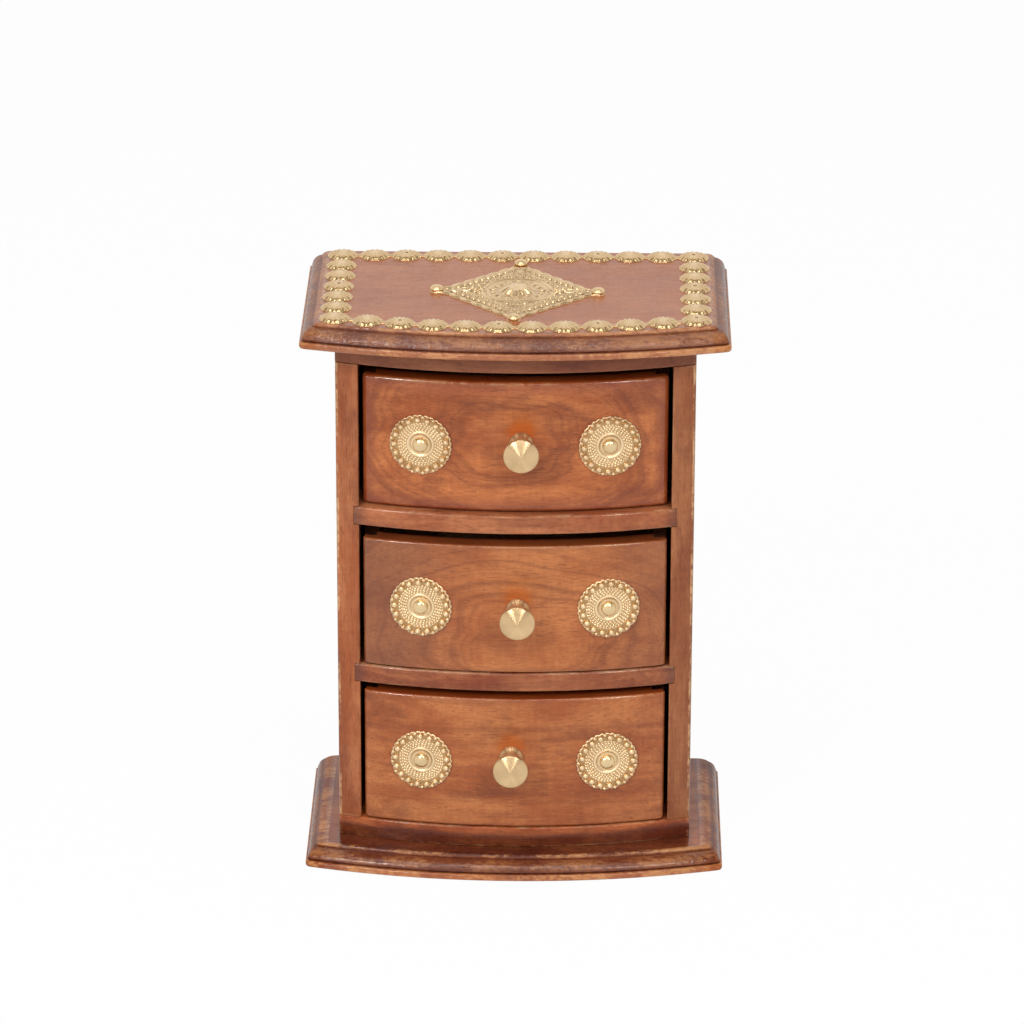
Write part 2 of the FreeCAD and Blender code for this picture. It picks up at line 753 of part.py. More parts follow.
def make_drawer_back(drawer):
    """Back between the sides, standing on the bottom."""
    limits = (-drawer.inside + GROOVE_CLEARANCE, drawer.inside - GROOVE_CLEARANCE)
    depth = (drawer.back_y - DRAWER_BACK_THICKNESS, drawer.back_y)
    panel = block(limits, depth, (drawer.bottom_high, drawer.side_top))
    export(drawer.name + "_drawer_back", [panel])


def make_drawer_bottom(drawer):
    export(drawer.name + "_drawer_bottom", [bottom_panel(drawer, GROOVE_CLEARANCE)])


def flared(neck, rim, facets):
    """Points of a hollow quarter ellipse, from a straight neck out to the rim that it flares to."""
    width = rim.x - neck.x
    height = rim.z - neck.z
    angles = [math.pi / 2 * i / facets for i in range(facets + 1)]
    return [flat(neck.x + width * (1 - math.cos(a)), neck.z + height * math.sin(a)) for a in angles]


def make_knob(drawer):
    """Turned knob: a foot, a waisted neck and a flared head with a shallow cone on its face."""
    point, out = drawer.knob_place()
    waist = (KNOB_FOOT_RADIUS + KNOB_NECK_RADIUS) / 2
    rim_end = KNOB_RIM_AT + KNOB_RIM_HEIGHT
    face_edge = flat(KNOB_HEAD_RADIUS - KNOB_RIM_BEVEL, rim_end + KNOB_RIM_BEVEL)
    neck = flat(KNOB_NECK_RADIUS, KNOB_NECK_AT)
    rim = flat(KNOB_HEAD_RADIUS, KNOB_RIM_AT)
    corners = [
        flat(0, 0),
        flat(KNOB_FOOT_RADIUS, 0),
        flat(KNOB_FOOT_RADIUS, KNOB_FOOT_HEIGHT),
        flat(waist, KNOB_WAIST_AT),
        *flared(neck, rim, KNOB_FLARE_FACETS),
        flat(KNOB_HEAD_RADIUS, rim_end),
        face_edge,
        flat(0, KNOB_LENGTH),
    ]
    knob = turned(corners, point + out * KNOB_SEAT, out)
    export(drawer.name + "_knob", [knob.cut(knob_screw_hole(drawer))])


def make_knob_screw(drawer):
    """Pan-headed screw from inside the drawer; its head bears on the back of the front."""
    point, out = drawer.knob_place()
    seat = point - out * (FRONT_THICKNESS + KNOB_SEAT)
    grip = FRONT_THICKNESS + KNOB_SCREW_GRIP - KNOB_SCREW_CLEARANCE
    bevel = KNOB_SCREW_HEAD_BEVEL
    corners = [
        flat(0, -KNOB_SCREW_HEAD_HEIGHT),
        flat(KNOB_SCREW_HEAD_RADIUS - bevel, -KNOB_SCREW_HEAD_HEIGHT),
        flat(KNOB_SCREW_HEAD_RADIUS, bevel - KNOB_SCREW_HEAD_HEIGHT),
        flat(KNOB_SCREW_HEAD_RADIUS, 0),
        flat(KNOB_SCREW_RADIUS, 0),
        flat(KNOB_SCREW_RADIUS, grip),
        flat(0, grip),
    ]
    export(drawer.name + "_knob_screw", [turned(corners, seat, out)])


def bead(angle):
    """Many-sided bead embossed in a rosette at this angle round it."""
    levels = ((1, 0), (1, ROSETTE_SHEET), (BEAD_CROWN, ROSETTE_SHEET + BEAD_RISE))
    solid = faceted([ring(BEAD_WIDTH / 2 * scale, BEAD_SIDES, z, angle) for scale, z in levels])
    return solid.translated(Vector(math.cos(angle), math.sin(angle), 0) * BEAD_CIRCLE_RADIUS)


def rope_ring():
    """Raised ring round the domed pin of a rosette."""
    outer = ROPE_RING_RADIUS + ROPE_RING_WIDTH / 2
    inner = ROPE_RING_RADIUS - ROPE_RING_WIDTH / 2
    crest_z = ROSETTE_SHEET + ROPE_RING_RISE
    outside = faceted([ring(outer, ROPE_RING_SIDES), ring(ROPE_RING_RADIUS, ROPE_RING_SIDES, crest_z)])
    bore = faceted([ring(inner, ROPE_RING_SIDES),
                    ring(ROPE_RING_RADIUS - ROPE_RING_CREST, ROPE_RING_SIDES, crest_z)])
    return outside.cut(bore)


def rosette():
    """Stamped rosette: a scalloped sheet with a circle of beads and a rope ring raised from it."""
    outline = star(ROSETTE_RADIUS, ROSETTE_LOBE_DEPTH, ROSETTE_LOBES)
    plate = polygon_face(outline).extrude(UP * ROSETTE_SHEET)
    beads = [bead(2 * math.pi * i / ROSETTE_LOBES) for i in range(ROSETTE_LOBES)]
    return plate.fuse(beads + [rope_ring()]).removeSplitter()


def make_rosettes(drawer):
    holes = rosette_pin_holes(drawer)
    pins = []
    for name, (point, out) in drawer.rosette_places():
        piece = placed(rosette(), point + out * ROSETTE_SEAT, out)
        export(drawer.name + "_rosette_" + name, [piece.cut(holes)])
        seat = point + out * (ROSETTE_SEAT + ROSETTE_SHEET)
        pins.append(domed_pin(seat, out * -1, ROSETTE_PIN_DOME, ROSETTE_PIN_RISE,
                              ROSETTE_PIN_SHANK, ROSETTE_PIN_LENGTH))
    export(drawer.name + "_rosette_pins", pins)


def make_drawer(number):
    drawer = Drawer(number)
    make_drawer_front(drawer)
    make_drawer_sides(drawer)
    make_drawer_back(drawer)
    make_drawer_bottom(drawer)
    make_knob(drawer)
    make_knob_screw(drawer)
    make_rosettes(drawer)


# ---------------------------------------------------------------- the whole chest

make_base_board()
make_carcass_bottom()
make_sides()
make_shelves()
make_carcass_top()
make_back_panel()
make_top_board()
make_case_nails()
make_strips()
make_medallion()
make_medallion_studs()
for number in range(len(DRAWER_NAMES)):
    make_drawer(number)
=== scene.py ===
import math

import bmesh
import bpy
from mathutils import Matrix, Vector, noise


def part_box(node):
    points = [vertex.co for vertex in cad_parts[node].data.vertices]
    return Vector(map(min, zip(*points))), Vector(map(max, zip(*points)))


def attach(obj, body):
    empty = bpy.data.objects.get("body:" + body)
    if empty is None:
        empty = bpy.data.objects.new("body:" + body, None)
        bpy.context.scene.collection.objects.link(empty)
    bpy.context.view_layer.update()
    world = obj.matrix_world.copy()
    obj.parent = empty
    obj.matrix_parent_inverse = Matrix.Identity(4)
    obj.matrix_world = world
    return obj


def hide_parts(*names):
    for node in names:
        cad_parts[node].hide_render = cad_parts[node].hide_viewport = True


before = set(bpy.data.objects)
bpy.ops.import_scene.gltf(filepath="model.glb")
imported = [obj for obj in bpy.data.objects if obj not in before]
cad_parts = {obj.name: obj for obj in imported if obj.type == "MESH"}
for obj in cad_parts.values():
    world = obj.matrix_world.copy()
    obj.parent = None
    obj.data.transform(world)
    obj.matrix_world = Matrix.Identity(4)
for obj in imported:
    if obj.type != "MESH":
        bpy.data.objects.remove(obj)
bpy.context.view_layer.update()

MM = 0.001
UP = Vector((0, 0, 1))

# ------------------------------------------------------------------ camera, light and room
# A long lens looks down a little at the chest's front.  Two narrow panels stand high in front of
# it, left and right, with a wide one between them and one above, in a white room.

LENS_MM = 192.5
SENSOR_MM = 36.0
AIM = Vector((-0.95, -18.45, 112.88)) * MM
DISTANCE = 1636.8 * MM
PITCH = math.radians(21.967)
YAW = math.radians(0.808)
ROLL = math.radians(0.15)
NEAR, FAR = 0.1, 20.0
LAMP_TARGET = Vector((0, 0, 0.09))
LAMPS = (  # name, place, width, depth, watts
    ("key_left", (-0.62, -1.10, 0.86), 0.15, 0.50, 7.2),
    ("key_right", (0.52, -1.10, 0.90), 0.15, 0.44, 4.2),
    ("front_wide", (-0.04, -1.20, 1.06), 1.00, 0.22, 2.8),
    ("overhead", (-0.05, -0.30, 1.15), 0.62, 0.42, 3.2),
)
ROOM_LIGHT = 0.56
CURTAIN_SHAPE = ((-2.3, 0.8), (-2.3, 2.7), (1.2, 2.7))
CURTAIN_HALF = 3.6
CURTAIN_GLOW = 0.36
CURTAIN_COLOR = (1.0, 0.92, 0.80, 1)
FLOOR_HALF = 3.0
FLOOR_DROP = 0.02 * MM
FLOOR_GLOW = 0.965
FLOOR_GREY = (0.86, 0.86, 0.86, 1)
WHITE = (1, 1, 1, 1)


def linked(name, data):
    """New object in the scene."""
    made = bpy.data.objects.new(name, data)
    bpy.context.scene.collection.objects.link(made)
    return made


camera = linked("camera", bpy.data.cameras.new("camera"))
bpy.context.scene.camera = camera
camera.data.lens = LENS_MM
camera.data.sensor_width = SENSOR_MM
camera.data.clip_start = NEAR
camera.data.clip_end = FAR
level_forward = Vector((-math.sin(YAW), math.cos(YAW), 0))
forward = level_forward * math.cos(PITCH) - UP * math.sin(PITCH)
right = Vector((math.cos(YAW), math.sin(YAW), 0))
facing = Matrix((right, right.cross(forward), -forward)).transposed() @ Matrix.Rotation(ROLL, 3, "Z")
camera.matrix_world = Matrix.Translation(AIM - forward * DISTANCE) @ facing.to_4x4()
bpy.context.scene.view_settings.view_transform = "Standard"

for name, place, width, depth, watts in LAMPS:
    lamp = bpy.data.lights.new(name, "AREA")
    lamp.shape = "RECTANGLE"
    lamp.size = width
    lamp.size_y = depth
    lamp.energy = watts
    panel = linked(name, lamp)
    panel.location = place
    panel.rotation_euler = (LAMP_TARGET - Vector(place)).to_track_quat("-Z", "Y").to_euler()


def feed(target, source):
    """Link a socket or a Value to an input, or set the input to a plain value."""
    if isinstance(source, Value):
        source = source.socket
    if isinstance(source, bpy.types.NodeSocket):
        target.id_data.links.new(source, target)
    else:
        target.default_value = source


def add_node(tree, kind, inputs=None, **settings):
    """Add a node, set it up and feed its inputs by name or number.  Gives its outputs."""
    made = tree.nodes.new(kind)
    for key, value in settings.items():
        setattr(made, key, value)
    for key, value in (inputs or {}).items():
        feed(made.inputs[key], value)
    return made.outputs


class Value:
    """A shader socket that adds, multiplies and so on through Math nodes."""

    def __init__(self, socket):
        self.socket = socket
        self.tree = socket.id_data

    def math(self, operation, *others, clamp=False):
        return Value(add_node(self.tree, "ShaderNodeMath", dict(enumerate((self, *others))),
                              operation=operation, use_clamp=clamp)[0])

    def __add__(self, other):
        return self.math("ADD", other)

    def __sub__(self, other):
        return self.math("SUBTRACT", other)

    def __mul__(self, other):
        return self.math("MULTIPLY", other)

    def __truediv__(self, other):
        return self.math("DIVIDE", other)

    def __abs__(self):
        return self.math("ABSOLUTE")

    def larger(self, other):
        return self.math("MAXIMUM", other)


def emptied(data):
    """Node tree of a material or a world, with nothing in it."""
    data.use_nodes = True
    data.node_tree.nodes.clear()
    return data.node_tree


def blended(tree, factor, first, second):
    return add_node(tree, "ShaderNodeMixShader", {0: factor, 1: first, 2: second})[0]


def shown_rays(tree):
    """1 for rays from the camera and for those that metal, lacquer or glass passes on."""
    path = add_node(tree, "ShaderNodeLightPath")
    return Value(path["Is Camera Ray"]).larger(path["Is Transmission Ray"]).larger(path["Is Glossy Ray"])


def sheet(name, corners, faces, material):
    mesh = bpy.data.meshes.new(name)
    mesh.from_pydata(corners, [], faces)
    mesh.materials.append(material)
    return linked(name, mesh)


room = bpy.data.worlds.new("room")
bpy.context.scene.world = room
tree = emptied(room)
lighting = add_node(tree, "ShaderNodeBackground", {"Strength": ROOM_LIGHT})[0]
backdrop = add_node(tree, "ShaderNodeBackground", {"Color": WHITE})[0]
add_node(tree, "ShaderNodeOutputWorld", {0: blended(tree, shown_rays(tree), lighting, backdrop)})

# A grey curtain behind the camera and a grey ceiling, seen only in reflections: they keep lacquer
# deep and give brass its contrast.
grey_cloth = bpy.data.materials.new("grey_cloth")
tree = emptied(grey_cloth)
even = add_node(tree, "ShaderNodeEmission", {"Color": CURTAIN_COLOR, "Strength": CURTAIN_GLOW})[0]
add_node(tree, "ShaderNodeOutputMaterial", {0: even})
curtain = sheet("curtain", [(x, y, z) for y, z in CURTAIN_SHAPE for x in (-CURTAIN_HALF, CURTAIN_HALF)],
                [(0, 1, 3, 2), (2, 3, 5, 4)], grey_cloth)
for ray in ("camera", "diffuse", "shadow", "transmission"):
    setattr(curtain, "visible_" + ray, False)

paper = bpy.data.materials.new("white_paper")
tree = emptied(paper)
matt = add_node(tree, "ShaderNodeBsdfDiffuse", {"Color": FLOOR_GREY})[0]
glow = add_node(tree, "ShaderNodeEmission", {"Color": WHITE})[0]
add_node(tree, "ShaderNodeOutputMaterial", {0: blended(tree, shown_rays(tree) * FLOOR_GLOW, matt, glow)})
floor = sheet("floor", [(x * FLOOR_HALF, y * FLOOR_HALF, -FLOOR_DROP)
                        for x, y in ((-1, -1), (1, -1), (1, 1), (-1, 1))], [(0, 1, 2, 3)], paper)

# ------------------------------------------------------------------ base board and top board
# Two hardwood boards with a bowed front.  An ovolo moulding with a small lip is worked round the
# front and both ends and mitred at the corners.  Brown stain lies in the quirk, and the lip's
# corner is worn back to pale wood.

BOARD_BOW = 9.2 * MM
CARCASS_BOW = 9.0 * MM
MOULDING_WIDTH = 5.0 * MM
STEP_HEIGHT = 1.25 * MM
LIP_HEIGHT = 2.1 * MM
LIP_ROUNDING = 0.9 * MM
LIP_CREST = 0.55 * MM
QUIRK_WIDTH = 1.2 * MM
OVOLO_SETBACK = 0.8 * MM
OVOLO_FOOT = 0.65 * MM
ARRIS = 0.6 * MM
SLIVER = 0.1 * MM
PLAIN_MARGIN = 0.8 * MM
STAIN_MARGIN = 3.0 * MM
PLAN_CORNER = 1.3 * MM
CORNER_STEPS = 6
BOW_STEPS = 72
END_STEPS = 12
CURVE_STEPS = 10
ROUNDING_STEPS = 5
CREST_STEPS = 4
END_ROLL = 6.9 * MM
END_SOFTNESS = {"base_board": 0.9, "top_board": 0.55}
BOARD_CRISPNESS = 32
WOOD_BUMP = 0.06 * MM
WOOD_BUMP_STRENGTH = 0.35
COAT_ROUGHNESS = 0.10
COAT_OVER_SHINE = 0.85
GRAIN_TURNS = {"X": (0, 0, 0), "Y": (0, 0, -math.pi / 2), "Z": (0, math.pi / 2, 0)}


def new_group(name, inputs, outputs, tree_kind="ShaderNodeTree"):
    """Node group and what it is given.  An input is (kind, name) or (kind, name, value)."""
    group = bpy.data.node_groups.new(name, tree_kind)
    for kind, label, *value in inputs:
        socket = group.interface.new_socket(label, in_out="INPUT", socket_type="NodeSocket" + kind)
        if value:
            socket.default_value = value[0]
    for kind, label in outputs:
        group.interface.new_socket(label, in_out="OUTPUT", socket_type="NodeSocket" + kind)
    return group, add_node(group, "NodeGroupInput")


def use_group(tree, group, **values):
    """Place a group and feed its inputs; an underscore in a name stands for a space."""
    inputs = {label.replace("_", " "): value for label, value in values.items()}
    return add_node(tree, "ShaderNodeGroup", inputs, node_tree=group)


def object_place(tree):
    return add_node(tree, "ShaderNodeTexCoord")["Object"]


def stretched(place, factors, shift=(0, 0, 0)):
    """A vector times these factors, plus a shift."""
    return add_node(place.id_data, "ShaderNodeVectorMath", {0: place, 1: factors, 2: shift},
                    operation="MULTIPLY_ADD")[0]


def speckle(place, factors, detail, roughness, shift=(0, 0, 0)):
    """Noise from 0 to 1, in a place stretched by these factors."""
    inputs = {"Vector": stretched(place, factors, shift), "Scale": 1.0, "Detail": detail,
              "Roughness": roughness}
    return Value(add_node(place.id_data, "ShaderNodeTexNoise", inputs)["Fac"])


def line_noise(value, scale, detail, roughness=0.5):
    """Noise from 0 to 1 along a single value."""
    inputs = {"W": value, "Scale": scale, "Detail": detail, "Roughness": roughness}
    return Value(add_node(value.tree, "ShaderNodeTexNoise", inputs, noise_dimensions="1D")["Fac"])


def ramp(value, low, high, to_low=0.0, to_high=1.0):
    """Smooth step of a value from one range to another."""
    inputs = dict(enumerate((value, low, high, to_low, to_high)))
    return Value(add_node(value.tree, "ShaderNodeMapRange", inputs, interpolation_type="SMOOTHSTEP")[0])


def ragged(value, at, factors, amount, detail=4.0):
    """A value whose level lines are made uneven by noise."""
    return value + speckle(at, factors, detail, 0.6) * amount


def tinted(factor, first, second):
    """Colour that goes from the first to the second as the factor rises."""
    inputs = {"Factor": factor, 6: first, 7: second}
    return add_node(factor.tree, "ShaderNodeMix", inputs, data_type="RGBA")[2]


def vertex_mask(name):
    """Mask that is kept in a mesh's attribute."""
    return lambda tree: Value(add_node(tree, "ShaderNodeAttribute", attribute_name=name)["Fac"])


def timber_group():
    """Hardwood cut from a log that lies along X, in millimetres from the log's heart."""
    group, given = new_group("timber", [
        ("Vector", "Place"), ("Float", "Heart Stretch", 9.0), ("Float", "Ring Width", 2.4),
        ("Float", "Ring Strength", 0.5), ("Float", "Cloud Strength", 0.5), ("Float", "Pore Strength", 0.5),
        ("Color", "Pale", (0.53, 0.187, 0.060, 1)), ("Color", "Rich", (0.30, 0.069, 0.018, 1)),
        ("Color", "Dark", (0.115, 0.026, 0.014, 1))],
        [("Color", "Color"), ("Float", "Height")])
    place = given["Place"]
    wander = add_node(group, "ShaderNodeTexNoise", {"Vector": stretched(place, (0.011, 0.045, 0.045)),
                                                    "Scale": 1.0, "Detail": 2.0})["Color"]
    bent = stretched(wander, (0, 16, 16), place)
    x, y, z = map(Value, add_node(group, "ShaderNodeSeparateXYZ", {0: bent}))
    along = x / given["Heart Stretch"]
    from_heart = (along * along + y * y + z * z).math("SQRT")
    late = ramp(line_noise(from_heart / given["Ring Width"], 0.8, 5.0, 0.62), 0.46, 0.68)
    fibre = speckle(place, (0.06, 2.3, 2.3), 5.0, 0.7)
    curl = speckle(place, (0.85, 0.10, 0.10), 2.0, 0.55, (2.9, 0, 4.3))
    figure = (curl - 0.5) * 0.35 + fibre
    cloud = speckle(bent, (0.030, 0.085, 0.085), 4.0, 0.6, (7.1, 3.3, 1.9))
    smoke = speckle(bent, (0.045, 0.11, 0.11), 5.0, 0.65, (1.3, 9.2, 4.4))
    sand = speckle(place, (0.9, 1.3, 1.3), 3.0, 0.75)
    pores = ramp(speckle(place, (0.24, 2.9, 2.9), 1.0, 0.5, (1.7, 0, 0)), 0.60, 0.70)
    shown = given["Pale"]
    for strength, tone in (
            (ramp(cloud, 0.36, 0.64) * given["Cloud Strength"], "Rich"),
            (late * given["Ring Strength"], "Dark"),
            (ramp(smoke, 0.48, 0.68, 0.0, 0.6) * given["Cloud Strength"], "Dark"),
            (ramp(figure, 0.40, 0.68, 0.0, 0.35), "Rich"),
            (ramp(figure, 0.50, 0.28, 0.0, 0.30), "Pale"),
            (ramp(sand, 0.62, 0.34, 0.0, 0.16), "Dark"),
            (pores * given["Pore Strength"], "Dark")):
        shown = tinted(strength, shown, given[tone])
    add_node(group, "NodeGroupOutput", {"Color": shown, "Height": fibre * 0.6 - pores - late * 0.15})
    return group


def finish_group():
    """Old lacquer: stain that gathers in hollows, painted shade where a piece's mask also puts it, and
    lacquer worn through on crests.
    """
    group, given = new_group("old_lacquer", [
        ("Vector", "Place"), ("Color", "Color", (0.4, 0.15, 0.06, 1)), ("Float", "Hollow", 0.0),
        ("Float", "Crest", 0.0), ("Float", "Wear", 0.5), ("Color", "Stain", (0.062, 0.010, 0.005, 1)),
        ("Color", "Bare", (0.56, 0.30, 0.13, 1))],
        [("Color", "Color"), ("Float", "Roughness"), ("Float", "Coat"), ("Float", "Height")])
    place = given["Place"]
    fine = speckle(place, (0.5, 0.9, 0.9), 5.0, 0.7)
    broad = speckle(place, (0.07, 0.12, 0.12), 3.0, 0.6, (3.1, 0, 5.7))
    patchy = fine * 0.5 + broad * 0.5
    darkened = tinted(ramp(patchy, 0.30, 0.62, 1.0, 0.65) * given["Hollow"], given["Color"], given["Stain"])
    rubbed = ramp(patchy, 0.44, 0.60) * given["Crest"] * given["Wear"]
    worked = Value(given["Hollow"]).math("ADD", given["Crest"], clamp=True)
    add_node(group, "NodeGroupOutput", {
        "Color": tinted(rubbed, darkened, given["Bare"]),
        "Roughness": rubbed * 0.25 + ramp(broad, 0.35, 0.65, 0.27, 0.40),
        "Coat": worked,
        "Height": worked * speckle(place, (1.1, 1.9, 1.9), 2.0, 0.6)})
    return group


TIMBER = timber_group()
OLD_LACQUER = finish_group()


def principled(name):
    """Material, its node tree and its Principled shader's inputs."""
    material = bpy.data.materials.new(name)
    material.use_nodes = True
    return material, material.node_tree, material.node_tree.nodes["Principled BSDF"].inputs


def set_bump(surface, height, distance, strength, labels=("Normal",)):
    normal = add_node(height.tree, "ShaderNodeBump", {"Strength": strength, "Distance": distance,
                                                      "Height": height})[0]
    for label in labels:
        feed(surface[label], normal)


def wooden(name, heart, grain="X", hollow=None, crest=None, wear=0.5, edge_coat=0.8, peel=2.0,
           shine=0.25, gloss=1.0, stretch=9.0, rings=0.25, clouds=0.5, pores=0.4, ring_width=2.4,
           painted_light=None, coat_limit=None, finish=None, **colors):
    """Lacquered wood.  heart is where the log's heart lies, and grain the axis that it runs along.
    hollow, crest, coat_limit and the first of patch make masks; the second of patch is a tone of painted
    light."""
    material, tree, surface = principled(name)
    turn = GRAIN_TURNS[grain]
    turned_heart = Matrix.Rotation(turn[2], 3, "Z") @ Matrix.Rotation(turn[1], 3, "Y") @ Vector(heart)
    place = add_node(tree, "ShaderNodeMapping", {"Vector": object_place(tree), "Scale": (1 / MM,) * 3,
                                                 "Rotation": turn, "Location": -turned_heart},
                     vector_type="POINT")[0]
    log = use_group(tree, TIMBER, Place=place, Heart_Stretch=stretch, Ring_Width=ring_width,
                    Ring_Strength=rings, Cloud_Strength=clouds, Pore_Strength=pores, **colors)
    kept = {label: mask(tree) for label, mask in (("Hollow", hollow), ("Crest", crest)) if mask}
    lacquer = use_group(tree, OLD_LACQUER, Place=place, Color=log["Color"], Wear=wear, **kept,
                        **(finish or {}))
    coat = Value(lacquer["Coat"])
    coated = coat * edge_coat
    shown = lacquer["Color"]
    # Painted light: a tone laid over the wood's colour where its mask rises.
    if painted_light:
        shown = tinted(painted_light[0](tree), shown, painted_light[1])
    if coat_limit:
        coated = coated * coat_limit(tree)
    feed(surface["Base Color"], shown)
    feed(surface["Roughness"], Value(lacquer["Roughness"]) * gloss)
    feed(surface["Specular IOR Level"], coat * (-COAT_OVER_SHINE * shine) + shine)
    feed(surface["Coat Weight"], coated)
    feed(surface["Coat Roughness"], COAT_ROUGHNESS)
    set_bump(surface, Value(lacquer["Height"]) * peel + log["Height"], WOOD_BUMP, WOOD_BUMP_STRENGTH,
             ("Normal", "Coat Normal"))
    return material


def bow_radius(width, bow):
    half = width / 2
    return (half ** 2 + bow ** 2) / (2 * bow)


def arc_points(centre, radius_x, radius_z, start, end, steps):
    """Points of an elliptical arc in a profile, angles in degrees."""
    angles = [math.radians(start + (end - start) * i / steps) for i in range(steps + 1)]
    return [(centre[0] + radius_x * math.cos(a), centre[1] + radius_z * math.sin(a)) for a in angles]


def moulding_profile(thickness, softness):
    """(inset in front, inset at the ends, height, hollow, crest) from the lip's underside to the flat.
    The ends are rubbed towards one plain roll by this softness."""
    lip = arc_points((-LIP_ROUNDING, LIP_ROUNDING), LIP_ROUNDING, LIP_ROUNDING, -90, 0, ROUNDING_STEPS)
    crest = arc_points((-LIP_CREST, LIP_HEIGHT - LIP_CREST), LIP_CREST, LIP_CREST, 0, 90, CREST_STEPS)
    foot = LIP_HEIGHT + OVOLO_FOOT
    shoulder = thickness - STEP_HEIGHT
    ovolo = arc_points((-MOULDING_WIDTH, foot), MOULDING_WIDTH - OVOLO_SETBACK, shoulder - foot,
                       0, 90, CURVE_STEPS)
    flat = -MOULDING_WIDTH - ARRIS
    arris = arc_points((flat, thickness - ARRIS), ARRIS, ARRIS, 0, 90, ROUNDING_STEPS)
    points = [(-LIP_ROUNDING - PLAIN_MARGIN, 0.0, 0.0, 0.0)]
    points += [(x, z, 0.15, 0.4 if i < 2 else 1.0) for i, (x, z) in enumerate(lip)]
    points += [(x, z, 0.2, 0.9) for x, z in crest]
    points += [(-QUIRK_WIDTH, LIP_HEIGHT, 1.0, 0.0), (-QUIRK_WIDTH, LIP_HEIGHT + SLIVER, 1.0, 0.0)]
    for i, (x, z) in enumerate(ovolo):
        share = i / CURVE_STEPS
        dark = max(1.0 - 1.6 * share, 0.80, 3.0 * share - 2.2)
        points.append((x, z, dark, 0.5 * math.sin(math.pi * share)))
    points.append((-MOULDING_WIDTH, shoulder + SLIVER, 0.9, 0.0))
    points += [(x, z, 0.35, 0.85) for x, z in arris]
    points += [(flat - PLAIN_MARGIN, thickness, 0.5, 0.0), (flat - STAIN_MARGIN, thickness, 0.0, 0.0)]
    rows = []
    for x, z, dark, bare in points:
        rise = min(max((z - foot) / (thickness - foot), 0.0), 1.0)
        roll = -END_ROLL + (END_ROLL - OVOLO_SETBACK) * math.sqrt(1 - rise ** 2)
        end = x * (1 - 0.3 * softness) if rise == 0 else x + (min(roll, 0.0) - x) * softness
        rows.append((x, min(end, x) if rise == 1 else end, z, dark, bare))
    return rows


def board_outline(low, high, inset, end_inset):
    """Left end, bowed front and right end of a board, set in by these amounts from its edges."""
    radius = bow_radius(high.x - low.x, BOARD_BOW)
    centre_y = low.y + radius
    half = (high.x - low.x) / 2 + end_inset
    reach = radius + inset
    corner = Vector((-half, centre_y - math.sqrt(reach ** 2 - half ** 2)))
    slope = math.asin(half / reach)
    back_point = corner + Vector((0, PLAN_CORNER))
    front_point = corner + PLAN_CORNER * Vector((math.cos(slope), -math.sin(slope)))
    left = [(-half, high.y + (back_point.y - high.y) * i / END_STEPS) for i in range(END_STEPS)]
    for i in range(CORNER_STEPS + 1):
        share = i / CORNER_STEPS
        left.append(tuple(back_point.lerp(corner, share).lerp(corner.lerp(front_point, share), share)))
    stations = [-half + 2 * half * i / BOW_STEPS for i in range(1, BOW_STEPS)]
    front = [(x, centre_y - math.sqrt(reach ** 2 - x ** 2)) for x in stations]
    return left + front + [(-x, y) for x, y in reversed(left)]


def layered(levels):
    """Rows of vertices from (outline, height, hollow, crest), in a mesh that remembers the last two."""
    build = bmesh.new()
    layers = [build.verts.layers.float.new(name) for name in ("hollow", "crest")]
    rows = []
    for outline, z, *values in levels:
        rows.append([build.verts.new((x, y, z)) for x, y in outline])
        for vert in rows[-1]:
            for layer, value in zip(layers, values):
                vert[layer] = value
    return build, rows


def skin(build, rows, closed=True):
    """Faces between each row of vertices and the next."""
    for lower, upper in zip(rows, rows[1:]):
        for i in range(0 if closed else 1, len(lower)):
            build.faces.new((lower[i - 1], lower[i], upper[i], upper[i - 1]))


def moulded_board(node):
    """Board built from its outline at each point of the moulding."""
    low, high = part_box(node)
    build, rows = layered([(board_outline(low, high, inset, end_inset), low.z + z, dark, bare)
                           for inset, end_inset, z, dark, bare
                           in moulding_profile(high.z - low.z, END_SOFTNESS[node])])
    skin(build, rows, closed=False)
    build.faces.new(reversed(rows[0]))
    build.faces.new(rows[-1])
    build.faces.new([row[-1] for row in rows] + [row[0] for row in reversed(rows)])
    return build


def finished(build, name, crisp_degrees=180):
    """Plain mesh with smooth shading, where edges sharper than this stay crisp."""
    bmesh.ops.recalc_face_normals(build, faces=build.faces)
    for face in build.faces:
        face.smooth = True
    for edge in build.edges:
        edge.smooth = len(edge.link_faces) != 2 or edge.calc_face_angle() < math.radians(crisp_degrees)
    mesh = bpy.data.meshes.new(name)
    build.to_mesh(mesh)
    build.free()
    return mesh


def show(mesh, material, body, node):
    """Put a finished mesh in the scene in place of its CAD node."""
    mesh.materials.clear()
    mesh.materials.append(material)
    piece = linked(mesh.name, mesh)
    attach(piece, body)
    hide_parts(node)


def place_parts(tree, middle=Vector()):
    """A place in millimetres from this middle, as a vector and as its X, Y and Z."""
    at = stretched(object_place(tree), (1 / MM,) * 3, -middle)
    return at, *map(Value, add_node(tree, "ShaderNodeSeparateXYZ", {0: at}))


def behind_front(x, y):
    """How far a place lies behind the carcass's bowed front, in millimetres."""
    low, high = (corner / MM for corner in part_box("carcass_bottom"))
    return x * x * (-CARCASS_BOW / MM / high.x ** 2) + y - low.y


def ledge_stain_and_shade(tree):
    """Dark stain in the moulding's hollows, and stain with painted shade over the ledge in front of the
    carcass, between its sides.
    """
    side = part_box("carcass_bottom")[1].x / MM
    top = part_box("base_board")[1].z / MM
    at, x, y, z = place_parts(tree)
    between = ramp(ragged(abs(x), at, (0.12, 0.3, 0.3), 2.4), side + 0.4, side + 2.6, 1.0, 0.3)
    ahead = ramp(behind_front(x, y), 2.5, 0.0, 0.3, 1.0)
    return (ramp(z, top - 0.6, top - 0.2) * between * ahead).larger(vertex_mask("hollow")(tree))


